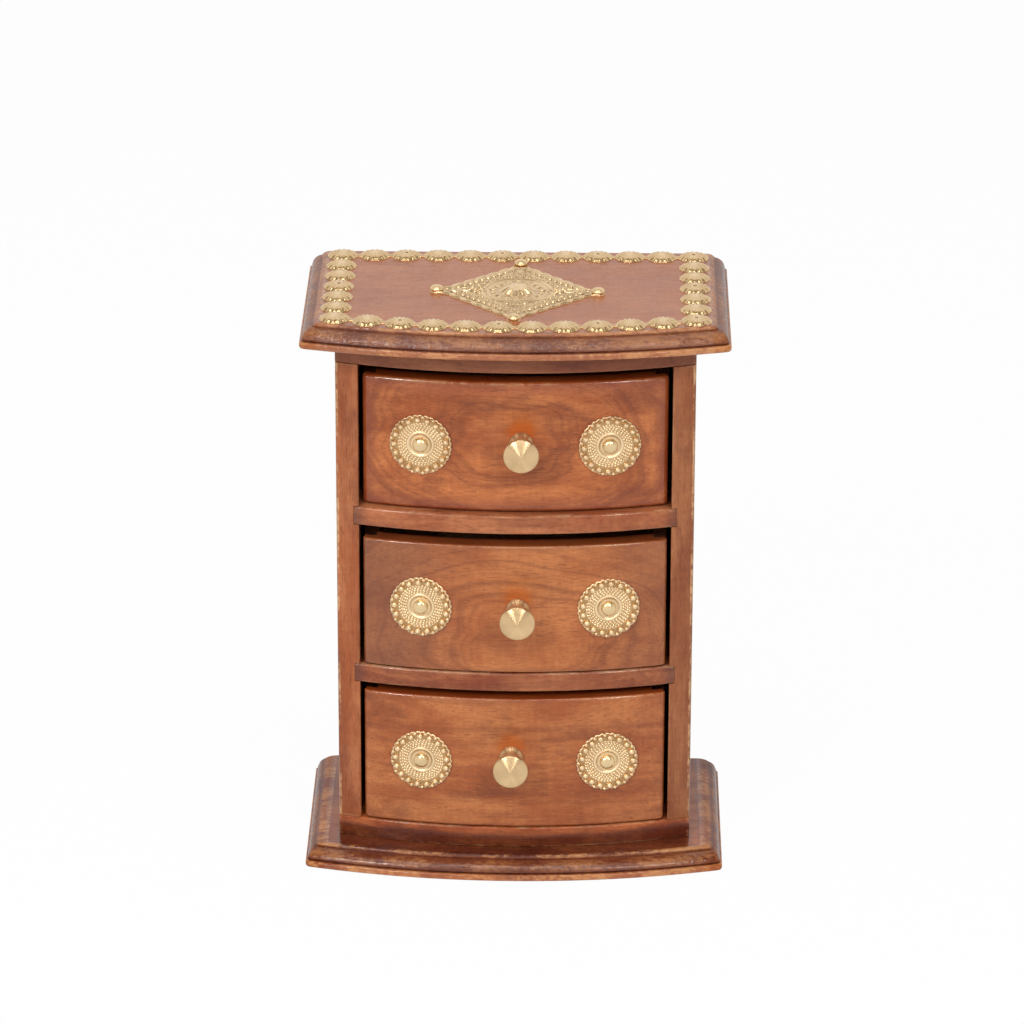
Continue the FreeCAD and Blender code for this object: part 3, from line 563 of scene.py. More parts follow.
def dull_ends(tree):
    """Coat that is thinner on the end mouldings."""
    at, x, y, z = place_parts(tree)
    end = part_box("top_board")[1].x / MM
    return ramp(abs(x), end - 6.5, end - 4.5, 1.0, 0.3)


BOARD_LOOK = dict(crest=vertex_mask("crest"), coat_limit=dull_ends, finish={"Bare": (0.64, 0.30, 0.11, 1)})
BASE_WOOD = wooden("base_wood", (30, -12, -60), hollow=ledge_stain_and_shade, wear=0.7, clouds=0.9, rings=0.3,
                   gloss=0.6, shine=0.3, peel=5.0, edge_coat=0.8, **BOARD_LOOK,
                   Pale=(0.52, 0.160, 0.046, 1), Rich=(0.27, 0.054, 0.015, 1))
TOP_WOOD = wooden("top_wood", (-40, 90, -210), hollow=vertex_mask("hollow"), wear=0.6, clouds=0.4, rings=0.12,
                  pores=0.3, gloss=0.7, shine=0.40, peel=12.0, edge_coat=1.0, **BOARD_LOOK,
                  Pale=(0.46, 0.158, 0.056, 1), Rich=(0.29, 0.064, 0.017, 1))
for node, name, material in (("base_board", "moulded_base", BASE_WOOD),
                             ("top_board", "moulded_top", TOP_WOOD)):
    show(finished(moulded_board(node), name, BOARD_CRISPNESS), material, "chest", node)

# ------------------------------------------------------------------ carcass
# Sides, dividers, and the boards over and under them, all with a bowed front.  They are planed
# hardwood, glued and nailed, with arrises rubbed round by hand.

CARCASS_ARRIS = 0.28 * MM
DIVIDER_ARRIS = 0.55 * MM
SHARP_DEGREES = 40
CARCASS_CRISPNESS = 35
UPRIGHT_WEAR = 0.35
BARE_WOOD = (0.60, 0.36, 0.18, 1)
# A divider's ends lie in the sides, so its wear is reckoned as if it were this much longer.
END_SPARE = Vector((4, 0, 0)) * MM


def carved_copy(node, arris):
    """Copy of a CAD node with its corners merged and its sharp arrises rounded.  A divider's are
    rounded along its front, where a hand rubs them."""
    build = bmesh.new()
    build.from_mesh(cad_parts[node].data)
    bmesh.ops.remove_doubles(build, verts=build.verts, dist=0.001 * MM)
    bmesh.ops.dissolve_limit(build, angle_limit=math.radians(0.3), verts=build.verts, edges=build.edges)
    sharp = [edge for edge in build.edges
             if len(edge.link_faces) == 2 and edge.calc_face_angle() > math.radians(SHARP_DEGREES)]
    if node.startswith("shelf_"):
        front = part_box(node)[0].y + CARCASS_BOW
        sharp = [edge for edge in sharp
                 if abs(edge.verts[0].co.x - edge.verts[1].co.x) > 0.5 * edge.calc_length()
                 and max(vert.co.y for vert in edge.verts) < front]
    bmesh.ops.bevel(build, geom=sharp, offset=arris, segments=3, profile=0.5, affect="EDGES",
                    clamp_overlap=True)
    return build


def rim_mask(low, high, reach, margin):
    """Mask that rises over the last few millimetres towards the edges of a face in X and Z."""
    half = (high - low) / 2 / MM

    def build(tree):
        at, x, y, z = place_parts(tree, (low + high) / 2 / MM)
        beyond = (abs(x) - half.x).larger(abs(z) - half.z)
        uneven = speckle(at, (0.13, 0.4, 0.4), 4.0, 0.6) * margin - beyond
        return ramp(uneven, margin * 0.5, margin * 0.5 + reach, 1.0, 0.0)

    return build


def worn_corner(low, high, strength):
    """Mask for lightly worn arrises, and for the case's outer corners, rubbed back to bare wood."""
    rim = rim_mask(low, high, 0.7, 0.8)
    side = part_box("case_side_right")[1].x / MM

    def build(tree):
        at, x, y, z = place_parts(tree)
        behind = behind_front(x, y)
        corner = ramp(ragged(abs(x), at, (0.5, 0.5, 0.16), 0.5, 3.0), side - 0.75, side - 0.35)
        edge = rim(tree) * ramp(behind, 0.8, 2.0, strength, 0.0)
        return edge.larger(corner * ramp(behind, 0.6, 1.2, 1.0, 0.0))

    return build


def foot_stain_and_shade(tree):
    """Dark stain and painted shade at the foot of the board under the lowest drawer, where it stands on the
    base.
    """
    at, x, y, z = place_parts(tree)
    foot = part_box("carcass_bottom")[0].z / MM
    return ramp(ragged(z, at, (0.07, 0.3, 0.3), -2.5), foot + 2.2, foot + 4.0, 0.9, 0.0)


def end_stain(tree):
    """Dark at a divider's ends, where stain gathers against the sides."""
    at, x, y, z = place_parts(tree)
    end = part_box("shelf_lower")[1].x / MM
    return ramp(ragged(abs(x), at, (0.15, 0.35, 0.35), 3.0), end - 3.5, end + 1.5, 0.0, 0.75)


CARCASS_LOOKS = {
    "carcass_bottom": dict(heart=(0, -60, -20), clouds=1.0, wear=0.4, hollow=foot_stain_and_shade,
                           Pale=(0.50, 0.140, 0.038, 1), Rich=(0.24, 0.044, 0.011, 1)),
    "case_side_left": dict(heart=(-90, -40, 0), grain="Z", clouds=0.8, rings=0.23, wear=0.9,
                           Pale=(0.50, 0.185, 0.075, 1)),
    "case_side_right": dict(heart=(85, -60, 60), grain="Z", clouds=0.7, wear=0.9,
                            Pale=(0.38, 0.142, 0.056, 1), Rich=(0.22, 0.056, 0.020, 1)),
    "shelf_lower": dict(heart=(20, -10, 30), clouds=0.9, edge_coat=1.0, hollow=end_stain,
                        Pale=(0.42, 0.145, 0.058, 1), Rich=(0.21, 0.045, 0.018, 1)),
    "shelf_upper": dict(heart=(-30, -12, 140), clouds=0.8, rings=0.17, edge_coat=1.0, hollow=end_stain,
                        Pale=(0.50, 0.180, 0.072, 1), Rich=(0.27, 0.062, 0.022, 1)),
    # Darker tones than the other boards: painted shade under the top board's overhang.
    "carcass_top": dict(heart=(60, 20, 60), clouds=0.9, wear=0.1,
                        Pale=(0.34, 0.125, 0.055, 1), Rich=(0.22, 0.060, 0.026, 1)),
}
for node, look in CARCASS_LOOKS.items():
    low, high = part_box(node)
    arris = CARCASS_ARRIS
    if node.startswith("shelf_"):
        low, high = low - END_SPARE, high + END_SPARE
        arris = DIVIDER_ARRIS
    crest = worn_corner(low, high, UPRIGHT_WEAR if look.get("grain") == "Z" else 1.0)
    material = wooden(node + "_wood", crest=crest, finish={"Bare": BARE_WOOD}, **{"edge_coat": 0.5, **look})
    mesh = finished(carved_copy(node, arris), node + "_finished", CARCASS_CRISPNESS)
    show(mesh, material, "chest", node)


def dress(node, material):
    """Give a CAD node that is shown as it is a material of its own."""
    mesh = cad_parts[node].data
    mesh.materials.clear()
    mesh.materials.append(material)


dress("back_panel", wooden("back_wood", (60, 0, 0), "Z", clouds=0.5, rings=0.4, gloss=1.4))

# ------------------------------------------------------------------ case nails
# Plain cut nails of steel, a little rusted.  Four go up through the base into the sides and six
# through the back panel, and their heads are sunk below the wood.

STEEL_GREY = (0.36, 0.34, 0.32, 1)
RUST_BROWN = (0.17, 0.12, 0.09, 1)

NAIL_STEEL, tree, surface = principled("nail_steel")
rust = ramp(speckle(object_place(tree), (1 / MM,) * 3, 3.0, 0.6), 0.4, 0.65)
feed(surface["Metallic"], 1.0)
feed(surface["Base Color"], tinted(rust, STEEL_GREY, RUST_BROWN))
feed(surface["Roughness"], ramp(rust, 0, 1, 0.38, 0.62))
for node in ("base_nails", "back_nails"):
    dress(node, NAIL_STEEL)

# ------------------------------------------------------------------ brass edging
# Strips of thin stamped brass round the top: fluted discs with small oval links between them,
# laid end to end and pinned through every third disc.

DISC_RADIUS = 4.7 * MM
DISC_RISE = 1.05 * MM
DISC_PETALS = 14
DISC_SHARES = (0.2, 0.4, 0.55, 0.66, 0.74, 0.81, 0.87, 0.92, 0.96, 1.0)
FLUTE_DEPTH = 0.20
DISCS_ACROSS = 12
DISCS_ALONG = 7
DISCS_PER_NAIL = 3
DISC_SPIN = 0.7
BACK_ROW_SHIFT = 0.5 * MM
LINK_LENGTH = 2.2 * MM
LINK_WIDTH = 1.1 * MM
LINK_RISE = 0.28 * MM
LINK_SHARES = (0.3, 0.55, 0.75, 0.9, 1.0)
LINK_SPOKES = 20
SHEET_EDGE = 0.14 * MM
DISC_SPREAD = 310  # spreads a place in metres, for the noise that gives a disc its turn


def brass_group():
    """Lacquered brass: darker where its mask says, with tarnish in hollows and painted shade on some pieces,
    and a grainy surface.
    """
    group, given = new_group("old_brass", [
        ("Vector", "Place"), ("Float", "Hollow", 0.0), ("Float", "Grain Scale", 1.6),
        ("Color", "Brass", (0.76, 0.55, 0.31, 1)), ("Color", "Tarnish", (0.34, 0.20, 0.085, 1))],
        [("Color", "Color"), ("Float", "Roughness"), ("Float", "Height")])
    scaled = add_node(group, "ShaderNodeVectorMath", {0: given["Place"], "Scale": given["Grain Scale"]},
                      operation="SCALE")[0]
    grain = speckle(scaled, (1, 1, 1), 3.0, 0.65)
    broad = speckle(given["Place"], (0.21,) * 3, 3.0, 0.6)
    mottled = tinted(ramp(broad, 0.35, 0.7, 0.0, 0.22), given["Brass"], given["Tarnish"])
    dark = ramp(grain, 0.2, 0.8, 1.0, 0.6) * given["Hollow"]
    add_node(group, "NodeGroupOutput", {"Color": tinted(dark, mottled, given["Tarnish"]),
                                        "Roughness": ramp(grain, 0.3, 0.7, 0.22, 0.36), "Height": grain})
    return group


OLD_BRASS = brass_group()


def brass_surface(name, grain_scale, **colors):
    """Metal material coloured as old brass, its shader's inputs, and what the brass group gives."""
    material, tree, surface = principled(name)
    old = use_group(tree, OLD_BRASS, Place=stretched(object_place(tree), (1 / MM,) * 3),
                    Hollow=vertex_mask("hollow")(tree), Grain_Scale=grain_scale, **colors)
    feed(surface["Metallic"], 1.0)
    feed(surface["Base Color"], old["Color"])
    return material, surface, old


def brass(name, grain_bump, grain_scale=1.6, dullness=1.0, **colors):
    material, surface, old = brass_surface(name, grain_scale, **colors)
    feed(surface["Roughness"], Value(old["Roughness"]) * dullness)
    set_bump(surface, Value(old["Height"]), grain_bump, 1.0)
    return material


def relief(edge, height, spokes, shares):
    """Sheet with a raised pattern.  edge(angle) is its outline, height(x, y, share, angle) its
    top and how dark it lies there."""
    build = bmesh.new()
    hollow = build.verts.layers.float.new("hollow")

    def raised(x, y, share, angle):
        z, dark = height(x, y, share, angle)
        vert = build.verts.new((x, y, z))
        vert[hollow] = dark
        return vert

    middle = raised(0.0, 0.0, 0.0, 0.0)
    angles = [2 * math.pi * i / spokes for i in range(spokes)]
    rings = [[raised(edge(a) * share * math.cos(a), edge(a) * share * math.sin(a), share, a) for a in angles]
             for share in shares]
    rings.append([build.verts.new((vert.co.x, vert.co.y, 0)) for vert in rings[-1]])
    for i in range(spokes):
        build.faces.new((middle, rings[0][i - 1], rings[0][i]))
        for inner, outer in zip(rings, rings[1:]):
            build.faces.new((inner[i - 1], outer[i - 1], outer[i], inner[i]))
    build.faces.new(rings[-1])
    return build


def eased_step(value, low, high):
    share = min(max((value - low) / (high - low), 0.0), 1.0)
    return share * share * (3 - 2 * share)


def petal(angle, count):
    """0 in the groove between two petals, 1 along a petal's middle."""
    return abs(math.sin(angle * count / 2))


def disc_edge(angle):
    return DISC_RADIUS * (0.95 + 0.05 * petal(angle, DISC_PETALS))


def disc_height(x, y, share, angle):
    groove = (1 - petal(angle, DISC_PETALS)) * eased_step(share, 0.12, 0.6)
    cap = 0.22 * (1 - share ** 2) + 0.78 * (1 - eased_step(share, 0.66, 1.08))
    skirt = 1 - eased_step(share, 0.9, 1.0) * 0.85
    return SHEET_EDGE + DISC_RISE * skirt * (cap - FLUTE_DEPTH * groove), 0.6 * groove


def link_edge(angle):
    return LINK_LENGTH * LINK_WIDTH / math.hypot(LINK_WIDTH * math.cos(angle), LINK_LENGTH * math.sin(angle))


# Each link is darkened all over: tarnish between the raised discs, and painted shade where the links lie low
# between them.
def link_height(x, y, share, angle):
    return SHEET_EDGE + LINK_RISE * math.sqrt(1 - share ** 2 * 0.98), 0.6


def copies_group(name, *inputs):
    """Geometry nodes group and what it is given: a geometry, a material and these inputs."""
    mesh, material = ("Geometry", "Geometry"), ("Material", "Material")
    return new_group(name, [mesh, *inputs, material], [mesh], "GeometryNodeTree")


def give_out(tree, copies, material):
    """End a group: its copies become real and take the material."""
    solid = add_node(tree, "GeometryNodeRealizeInstances", {0: copies})[0]
    coloured = add_node(tree, "GeometryNodeSetMaterial", {"Geometry": solid, "Material": material})[0]
    add_node(tree, "NodeGroupOutput", {0: coloured})


def add_maker(piece, group, **values):
    """Modifier that runs a group; an underscore in a name stands for a space."""
    maker = piece.modifiers.new(group.name, "NODES")
    maker.node_group = group
    for item in group.interface.items_tree:
        label = item.name.replace(" ", "_")
        if item.in_out == "INPUT" and label in values:
            maker[item.identifier] = values[label]


def made_plain(piece):
    """Plain mesh of a piece and its modifiers; the piece goes."""
    piece.update_tag()
    depsgraph = bpy.context.evaluated_depsgraph_get()
    made = bpy.data.meshes.new_from_object(piece.evaluated_get(depsgraph))
    bpy.data.objects.remove(piece)
    return made


def set_out_group():
    """Geometry nodes that set a copy of one object on every point, turned by its attribute."""
    tree, given = copies_group("set_out_copies", ("Object", "Copy"))
    pattern = add_node(tree, "GeometryNodeObjectInfo", {"Object": given["Copy"]})["Geometry"]
    turn = add_node(tree, "GeometryNodeInputNamedAttribute", {"Name": "turn"}, data_type="FLOAT_VECTOR")[0]
    rotation = add_node(tree, "FunctionNodeEulerToRotation", {0: turn})[0]
    copies = add_node(tree, "GeometryNodeInstanceOnPoints", {"Points": given["Geometry"], "Instance": pattern,
                                                             "Rotation": rotation})[0]
    give_out(tree, copies, given["Material"])
    return tree


COPIES = set_out_group()


def pattern_object(build, name, crisp_degrees=180):
    """Object that is only copied, never shown."""
    return linked(name, finished(build, name, crisp_degrees))


def set_out(name, places, pattern, material):
    """Plain mesh of copies of one object at these (place, turn) pairs."""
    mesh = bpy.data.meshes.new(name + "_points")
    mesh.from_pydata([place for place, _ in places], [], [])
    turns = mesh.attributes.new("turn", "FLOAT_VECTOR", "POINT")
    for entry, (_, turn) in zip(turns.data, places):
        entry.vector = turn
    piece = linked(name + "_maker", mesh)
    add_maker(piece, COPIES, Copy=pattern, Material=material)
    made = made_plain(piece)
    made.name = name
    return made


def joined(name, meshes):
    """One mesh from several; the originals go."""
    build = bmesh.new()
    for mesh in meshes:
        build.from_mesh(mesh)
    whole = bpy.data.meshes.new(name)
    build.to_mesh(whole)
    build.free()
    for mesh in meshes:
        bpy.data.meshes.remove(mesh)
    return whole


top_low, top_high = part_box("top_board")
SURFACE = top_high.z
EDGING_BRASS = brass("edging_brass", 0.025 * MM, 1.6, 0.85, Brass=(0.80, 0.57, 0.31, 1),
                     Tarnish=(0.42, 0.24, 0.09, 1))
disc_pattern = pattern_object(relief(disc_edge, disc_height, DISC_PETALS * 4, DISC_SHARES), "disc_pattern")
link_pattern = pattern_object(relief(link_edge, link_height, LINK_SPOKES, LINK_SHARES), "link_pattern")

strip_half = (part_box("strip_left")[1].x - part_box("strip_left")[0].x) / 2
row_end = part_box("strip_front")[1].x - strip_half
row_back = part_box("strip_back")[1].y - strip_half + BACK_ROW_SHIFT
inset = top_high.x - row_end
row_radius = bow_radius(top_high.x - top_low.x, BOARD_BOW) - inset


def row_front(x):
    return top_low.y + inset + row_radius - math.sqrt(row_radius ** 2 - x ** 2)


stations = [row_end * (2 * i / (DISCS_ACROSS - 1) - 1) for i in range(DISCS_ACROSS)]
column = [row_front(row_end) + (row_back - row_front(row_end)) * i / (DISCS_ALONG - 1)
          for i in range(1, DISCS_ALONG - 1)]
RUNS = {
    "strip_front": [Vector((x, row_front(x), SURFACE)) for x in stations],
    "strip_back": [Vector((x, row_back, SURFACE)) for x in stations],
    "strip_left": [Vector((-row_end, y, SURFACE)) for y in column],
    "strip_right": [Vector((row_end, y, SURFACE)) for y in column],
}
for node, centres in RUNS.items():
    discs = [(place, (0, 0, DISC_SPIN * noise.noise(place * DISC_SPREAD))) for place in centres]
    links = [((a + b) / 2, (0, 0, math.atan2(b.y - a.y, b.x - a.x))) for a, b in zip(centres, centres[1:])]
    strip = joined(node + "_stamped", [set_out(node + "_discs", discs, disc_pattern, EDGING_BRASS),
                                       set_out(node + "_links", links, link_pattern, EDGING_BRASS)])
    show(strip, EDGING_BRASS, "chest", node)

# ------------------------------------------------------------------ edging nails
# Small brass-coloured steel pins with dull round heads.  One is driven through the crown of every
# third disc into the top.

PIN_HEAD = 0.62 * MM
PIN_RISE = 0.28 * MM
PIN_STEPS = 4
PIN_SPOKES = 14
PIN_SINK = 0.1 * MM


def lathe(profile, spokes):
    """Closed body turned about Z from (radius, height) points, bottom and top on the axis."""
    build = bmesh.new()
    ends = [build.verts.new((0, 0, profile[i][1])) for i in (0, -1)]
    angles = [2 * math.pi * i / spokes for i in range(spokes)]
    rings = [[build.verts.new((radius * math.cos(a), radius * math.sin(a), z)) for a in angles]
             for radius, z in profile[1:-1]]
    for i in range(spokes):
        build.faces.new((ends[0], rings[0][i], rings[0][i - 1]))
        build.faces.new((ends[1], rings[-1][i - 1], rings[-1][i]))
    skin(build, rings)
    return build


PIN_BRASS = brass("pin_brass", 0.02 * MM, Brass=(0.36, 0.22, 0.10, 1))
dome = arc_points((0, 0), PIN_HEAD, PIN_RISE, 0, 90, PIN_STEPS)
pin_pattern = pattern_object(lathe([(0, 0), *dome[:-1], (0, PIN_RISE)], PIN_SPOKES), "pin_pattern")
crown = UP * (SHEET_EDGE + DISC_RISE - PIN_SINK)
pins = [(place + crown, (0, 0, 0)) for centres in RUNS.values()
        for place in centres[DISCS_PER_NAIL - 1::DISCS_PER_NAIL]]
show(set_out("edging_pins", pins, pin_pattern, PIN_BRASS), PIN_BRASS, "chest", "strip_nails")

# ------------------------------------------------------------------ medallion
# Diamond of stamped brass with lobed sides, an eye at each tip, rows of beads and small rings in
# its arms, and a double ring round a flower in the middle.

MEDALLION_TIP = 24.1 * MM
MEDALLION_EYE = 2.1 * MM
MEDALLION_TURN = math.radians(-1.8)
MEDALLION_SHIFT = Vector((0.2, 1.6, 0)) * MM
MEDALLION_SPOKES = 384
MEDALLION_ROWS = 84
LOBES = 7
LOBE_RISE = 0.7 * MM
MIDDLE_RADIUS = 11.3
MIDDLE_BEADS = 18
MIDDLE_BEAD_SPACING = 3.1
FLOWER_PETALS = 9
BEAD_PITCH = 2.35
RIM_WIDTH = 1.5
STAMPED_CRISPNESS = 60


def lobe_wave(angle, count):
    """Wave of this many lobes along each side of the diamond."""
    quarter = angle % (math.pi / 2)
    return abs(math.sin(math.pi * count * math.sin(quarter) / (math.sin(quarter) + math.cos(quarter))))


def diamond_edge(angle):
    """Outline of the diamond with lobes on each side and round eyes at its tips."""
    quarter = angle % (math.pi / 2)
    from_tip = min(quarter, math.pi / 2 - quarter)
    side = MEDALLION_TIP / (math.sin(quarter) + math.cos(quarter))
    reach = side + LOBE_RISE * (lobe_wave(angle, LOBES) - 0.35)
    across = MEDALLION_TIP * math.sin(from_tip)
    if across < MEDALLION_EYE:
        return max(reach, MEDALLION_TIP * math.cos(from_tip) + math.sqrt(MEDALLION_EYE ** 2 - across ** 2))
    return reach


def ridge(distance, width):
    return math.exp(-(distance / width) ** 2)


def bead(distance, radius, rise):
    return rise * math.sqrt(max(1 - (distance / radius) ** 2, 0.0))


def medallion_height(x, y, share, angle):
    """Rows of beads and small rings along each side of the diamond, two rings and a flower in the
    middle."""
    x, y = x / MM, y / MM
    radius = math.hypot(x, y)
    z = 0.42
    if radius < MIDDLE_RADIUS:
        off_bead = (angle * MIDDLE_BEADS / (2 * math.pi) % 1 - 0.5) * MIDDLE_BEAD_SPACING
        z += 0.45 * ridge(radius - 10.5, 0.45) + 0.35 * ridge(radius - 8.9, 0.4)
        z += bead(off_bead, 1.0, 0.45) * ridge(radius - 7.2, 0.75)
        z += 1.45 * (1 - eased_step(radius / (0.78 + 0.22 * petal(angle, FLOWER_PETALS)), 2.6, 6.0))
        z += 0.35 * ridge(radius, 1.3)
    else:
        from_side = (MEDALLION_TIP / MM - abs(x) - abs(y)) / math.sqrt(2)
        along = (abs(x) - abs(y)) / math.sqrt(2)
        row = math.floor((from_side - RIM_WIDTH) / BEAD_PITCH)
        across = (from_side - RIM_WIDTH) / BEAD_PITCH - row - 0.5
        step = along / BEAD_PITCH + 0.5 * (row % 2)
        from_bead = math.hypot(across, step - math.floor(step) - 0.5) * BEAD_PITCH
        if row in (0, 2):
            z += bead(from_bead, 0.9, 0.6)
        elif row > 0:
            z += bead(from_bead, 0.45, 0.35) + 0.42 * ridge(from_bead - 0.85, 0.3)
    z += 0.30 * ridge(share - 0.955, 0.03) * (0.5 + 0.5 * lobe_wave(angle, LOBES * 2))
    rolled = 1 - eased_step(share, 0.975, 1.0) * 0.45
    return z * rolled * MM, min(max(0.58 - z, 0.0) * 3.2, 0.55)


MEDALLION_BRASS = brass("medallion_brass", 0.02 * MM, 2.2, Brass=(0.84, 0.61, 0.35, 1))
medallion_low, medallion_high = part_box("medallion")
medallion_place = Vector((0, (medallion_low.y + medallion_high.y) / 2, SURFACE)) + MEDALLION_SHIFT
build = relief(diamond_edge, medallion_height, MEDALLION_SPOKES,
               [(i + 1) / MEDALLION_ROWS for i in range(MEDALLION_ROWS)])
bmesh.ops.transform(build, verts=build.verts,
                    matrix=Matrix.Translation(medallion_place) @ Matrix.Rotation(MEDALLION_TURN, 4, "Z"))
show(finished(build, "stamped_medallion", STAMPED_CRISPNESS), MEDALLION_BRASS, "chest", "medallion")

# ------------------------------------------------------------------ medallion studs
# Four brass tacks with nearly round heads, driven into the top through the medallion's eyes to hold
# it down.

STUD_PROFILE = ((0, 0), (1.95, 0), (2.05, 0.25), (1.98, 0.55), (1.75, 0.9), (1.4, 1.15), (0.95, 1.33),
                (0.5, 1.42), (0, 1.45))
STUD_SPOKES = 24
STUD_SEAT = 0.5 * MM
STUD_FLATNESS = 0.85

STUD_BRASS = brass("stud_brass", 0.01 * MM, 1.6, 1.35, Brass=(0.84, 0.62, 0.35, 1))
stud_rise = STUD_FLATNESS * (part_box("medallion_studs")[1].z - SURFACE - STUD_SEAT) / STUD_PROFILE[-1][1]
stud_pattern = pattern_object(lathe([(r * MM, z * stud_rise) for r, z in STUD_PROFILE], STUD_SPOKES),
                              "stud_pattern")
tips = [(medallion_place + Vector((math.cos(a), math.sin(a), 0)) * MEDALLION_TIP + UP * STUD_SEAT, (0, 0, 0))
        for a in (MEDALLION_TURN + quarter * math.pi / 2 for quarter in range(4))]
show(set_out("round_tacks", tips, stud_pattern, STUD_BRASS), STUD_BRASS, "chest", "medallion_studs")

# ------------------------------------------------------------------ drawers
# Each drawer has a bowed hardwood front, rubbed round on its edges, and a plain box of thin boards
# behind it.

FRONT_CORNER = 1.9 * MM
FRONT_THICKNESS = 5.8 * MM
FRONT_LAP = 2.6 * MM
SIDE_BOARD = 4.0 * MM
FACE_STEPS = 64
BACK_STEPS = 24
FACE_MARGIN = 0.4 * MM
FACE_CRISPNESS = 40
EDGE_WEAR = (0.2, 0.7, 1.0, 0.6, 0.1, 0.0)
# The next four give the orange of painted light on each front, and the place and size of its knob's painted
# reflection, in millimetres.
PAINTED_GLOW_TONE = (0.46, 0.088, 0.009, 1)
GLOW_RISE = 3.8
GLOW_HALF_WIDTH = 5.4
GLOW_HALF_HEIGHT = 4.6

carcass_low, carcass_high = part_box("carcass_bottom")
FACE_CENTRE_Y = carcass_low.y + bow_radius(carcass_high.x - carcass_low.x, CARCASS_BOW)


def on_bow(x, radius):
    """Y on a bow of this radius about the carcass's centre."""
    return FACE_CENTRE_Y - math.sqrt(radius ** 2 - x ** 2)


def bowed_row(radius, reach, steps):
    """Points from left to right on such a bow."""
    stations = [reach * (2 * i / steps - 1) for i in range(steps + 1)]
    return [(x, on_bow(x, radius)) for x in stations]


def front_plan(radius, half, depth):
    """Plan of a drawer front whose face and ends are worn back by this depth."""
    reach = radius - depth
    bend_x = half - depth - FRONT_CORNER
    bend_y = on_bow(bend_x, reach - FRONT_CORNER)
    start = math.asin(bend_x / (reach - FRONT_CORNER))
    turns = [start + (math.pi / 2 - start) * i / ROUNDING_STEPS for i in range(1, ROUNDING_STEPS + 1)]
    right = [(bend_x + FRONT_CORNER * math.sin(a), bend_y - FRONT_CORNER * math.cos(a)) for a in turns]
    inner, lap = half - SIDE_BOARD, radius - FRONT_LAP
    right += [(half - FACE_MARGIN * 2, on_bow(half, lap)), (inner, on_bow(inner, lap))]
    left = [(-x, y) for x, y in reversed(right)]
    back = bowed_row(radius - FRONT_THICKNESS, inner, BACK_STEPS)
    return bowed_row(reach, reach * math.sin(start), FACE_STEPS) + right + back[::-1] + left


def drawer_front(body, rounding):
    """Bowed board with rubbed front edges, stepped back at each end where the side is let in."""
    low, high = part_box(body + "_front")
    radius = FACE_CENTRE_Y - low.y
    curve = arc_points((rounding, rounding), rounding, rounding, 180, 270, ROUNDING_STEPS)
    edge = [(*point, i / ROUNDING_STEPS, bare) for i, (point, bare) in enumerate(zip(curve, EDGE_WEAR))]
    plain = rounding + FACE_MARGIN
    # The third value of each level darkens the front's top and underside and the roundings into them: painted
    # shade, as they face into the gaps round the drawer.
    levels = [(plain, low.z, 0.9, 0.0)]
    levels += [(depth, low.z + z, 0.6 * dark, 0.3 * bare) for depth, z, dark, bare in reversed(edge)]
    levels += [(0.0, low.z + plain, 0.0, 0.0), (0.0, high.z - plain, 0.0, 0.0)]
    levels += [(depth, high.z - z, dark, bare) for depth, z, dark, bare in edge]
    levels += [(plain, high.z, 1.0, 0.0)]
    build, rows = layered([(front_plan(radius, high.x, depth), *values) for depth, *values in levels])
    skin(build, rows)
    build.faces.new(reversed(rows[0]))
    build.faces.new(rows[-1])
    return build


def top_edge(z, top, strength):
    """Mask for the last half millimetre under a drawer front's top."""
    return ramp(z, top - 0.55, top - 0.15, 0.0, strength)


def face_stain_and_shade(low, high, reach, strength, at_left, at_right):
    """Mask round a drawer's face: stain at its rim, darker in towards its sides, and painted shade deep on
    its top edge and top, which lie in the gap under the board above.
    """
    rim = rim_mask(low, high, reach, 2.6)
    left, right, top = low.x / MM, high.x / MM, high.z / MM

    def build(tree):
        at, x, y, z = place_parts(tree)
        uneven = ragged(x, at, (0.10, 0.2, 0.2), 26.0)
        darker_left = ramp(uneven, left + 22, left + 48, at_left, 0.0)
        darker_right = ramp(uneven, right - 14, right + 10, 0.0, at_right)
        darkened = darker_left.larger(darker_right).larger(rim(tree) * strength)
        # Painted shade on the front's top: its top edge, and the darkening that the mesh carries on its top
        # and underside.
        return vertex_mask("hollow")(tree).larger(top_edge(z, top, 0.95)).larger(darkened)

    return build


def painted_glow_mask(top, glow_x, glow_z, strength):
    """Mask for painted light: a painted reflection of the brass knob round and above its foot, and a faint
    painted glow on a drawer front's top.
    """
    def build(tree):
        at, x, y, z = place_parts(tree)
        across = (x - glow_x) / GLOW_HALF_WIDTH
        up = (z - glow_z) / GLOW_HALF_HEIGHT
        distance = ragged((across * across + up * up).math("SQRT"), at, (0.3, 0.3, 0.3), 0.6, 3.0)
        return ramp(distance, 0.75, 1.3, strength, 0.0).larger(top_edge(z, top, 0.2))

    return build


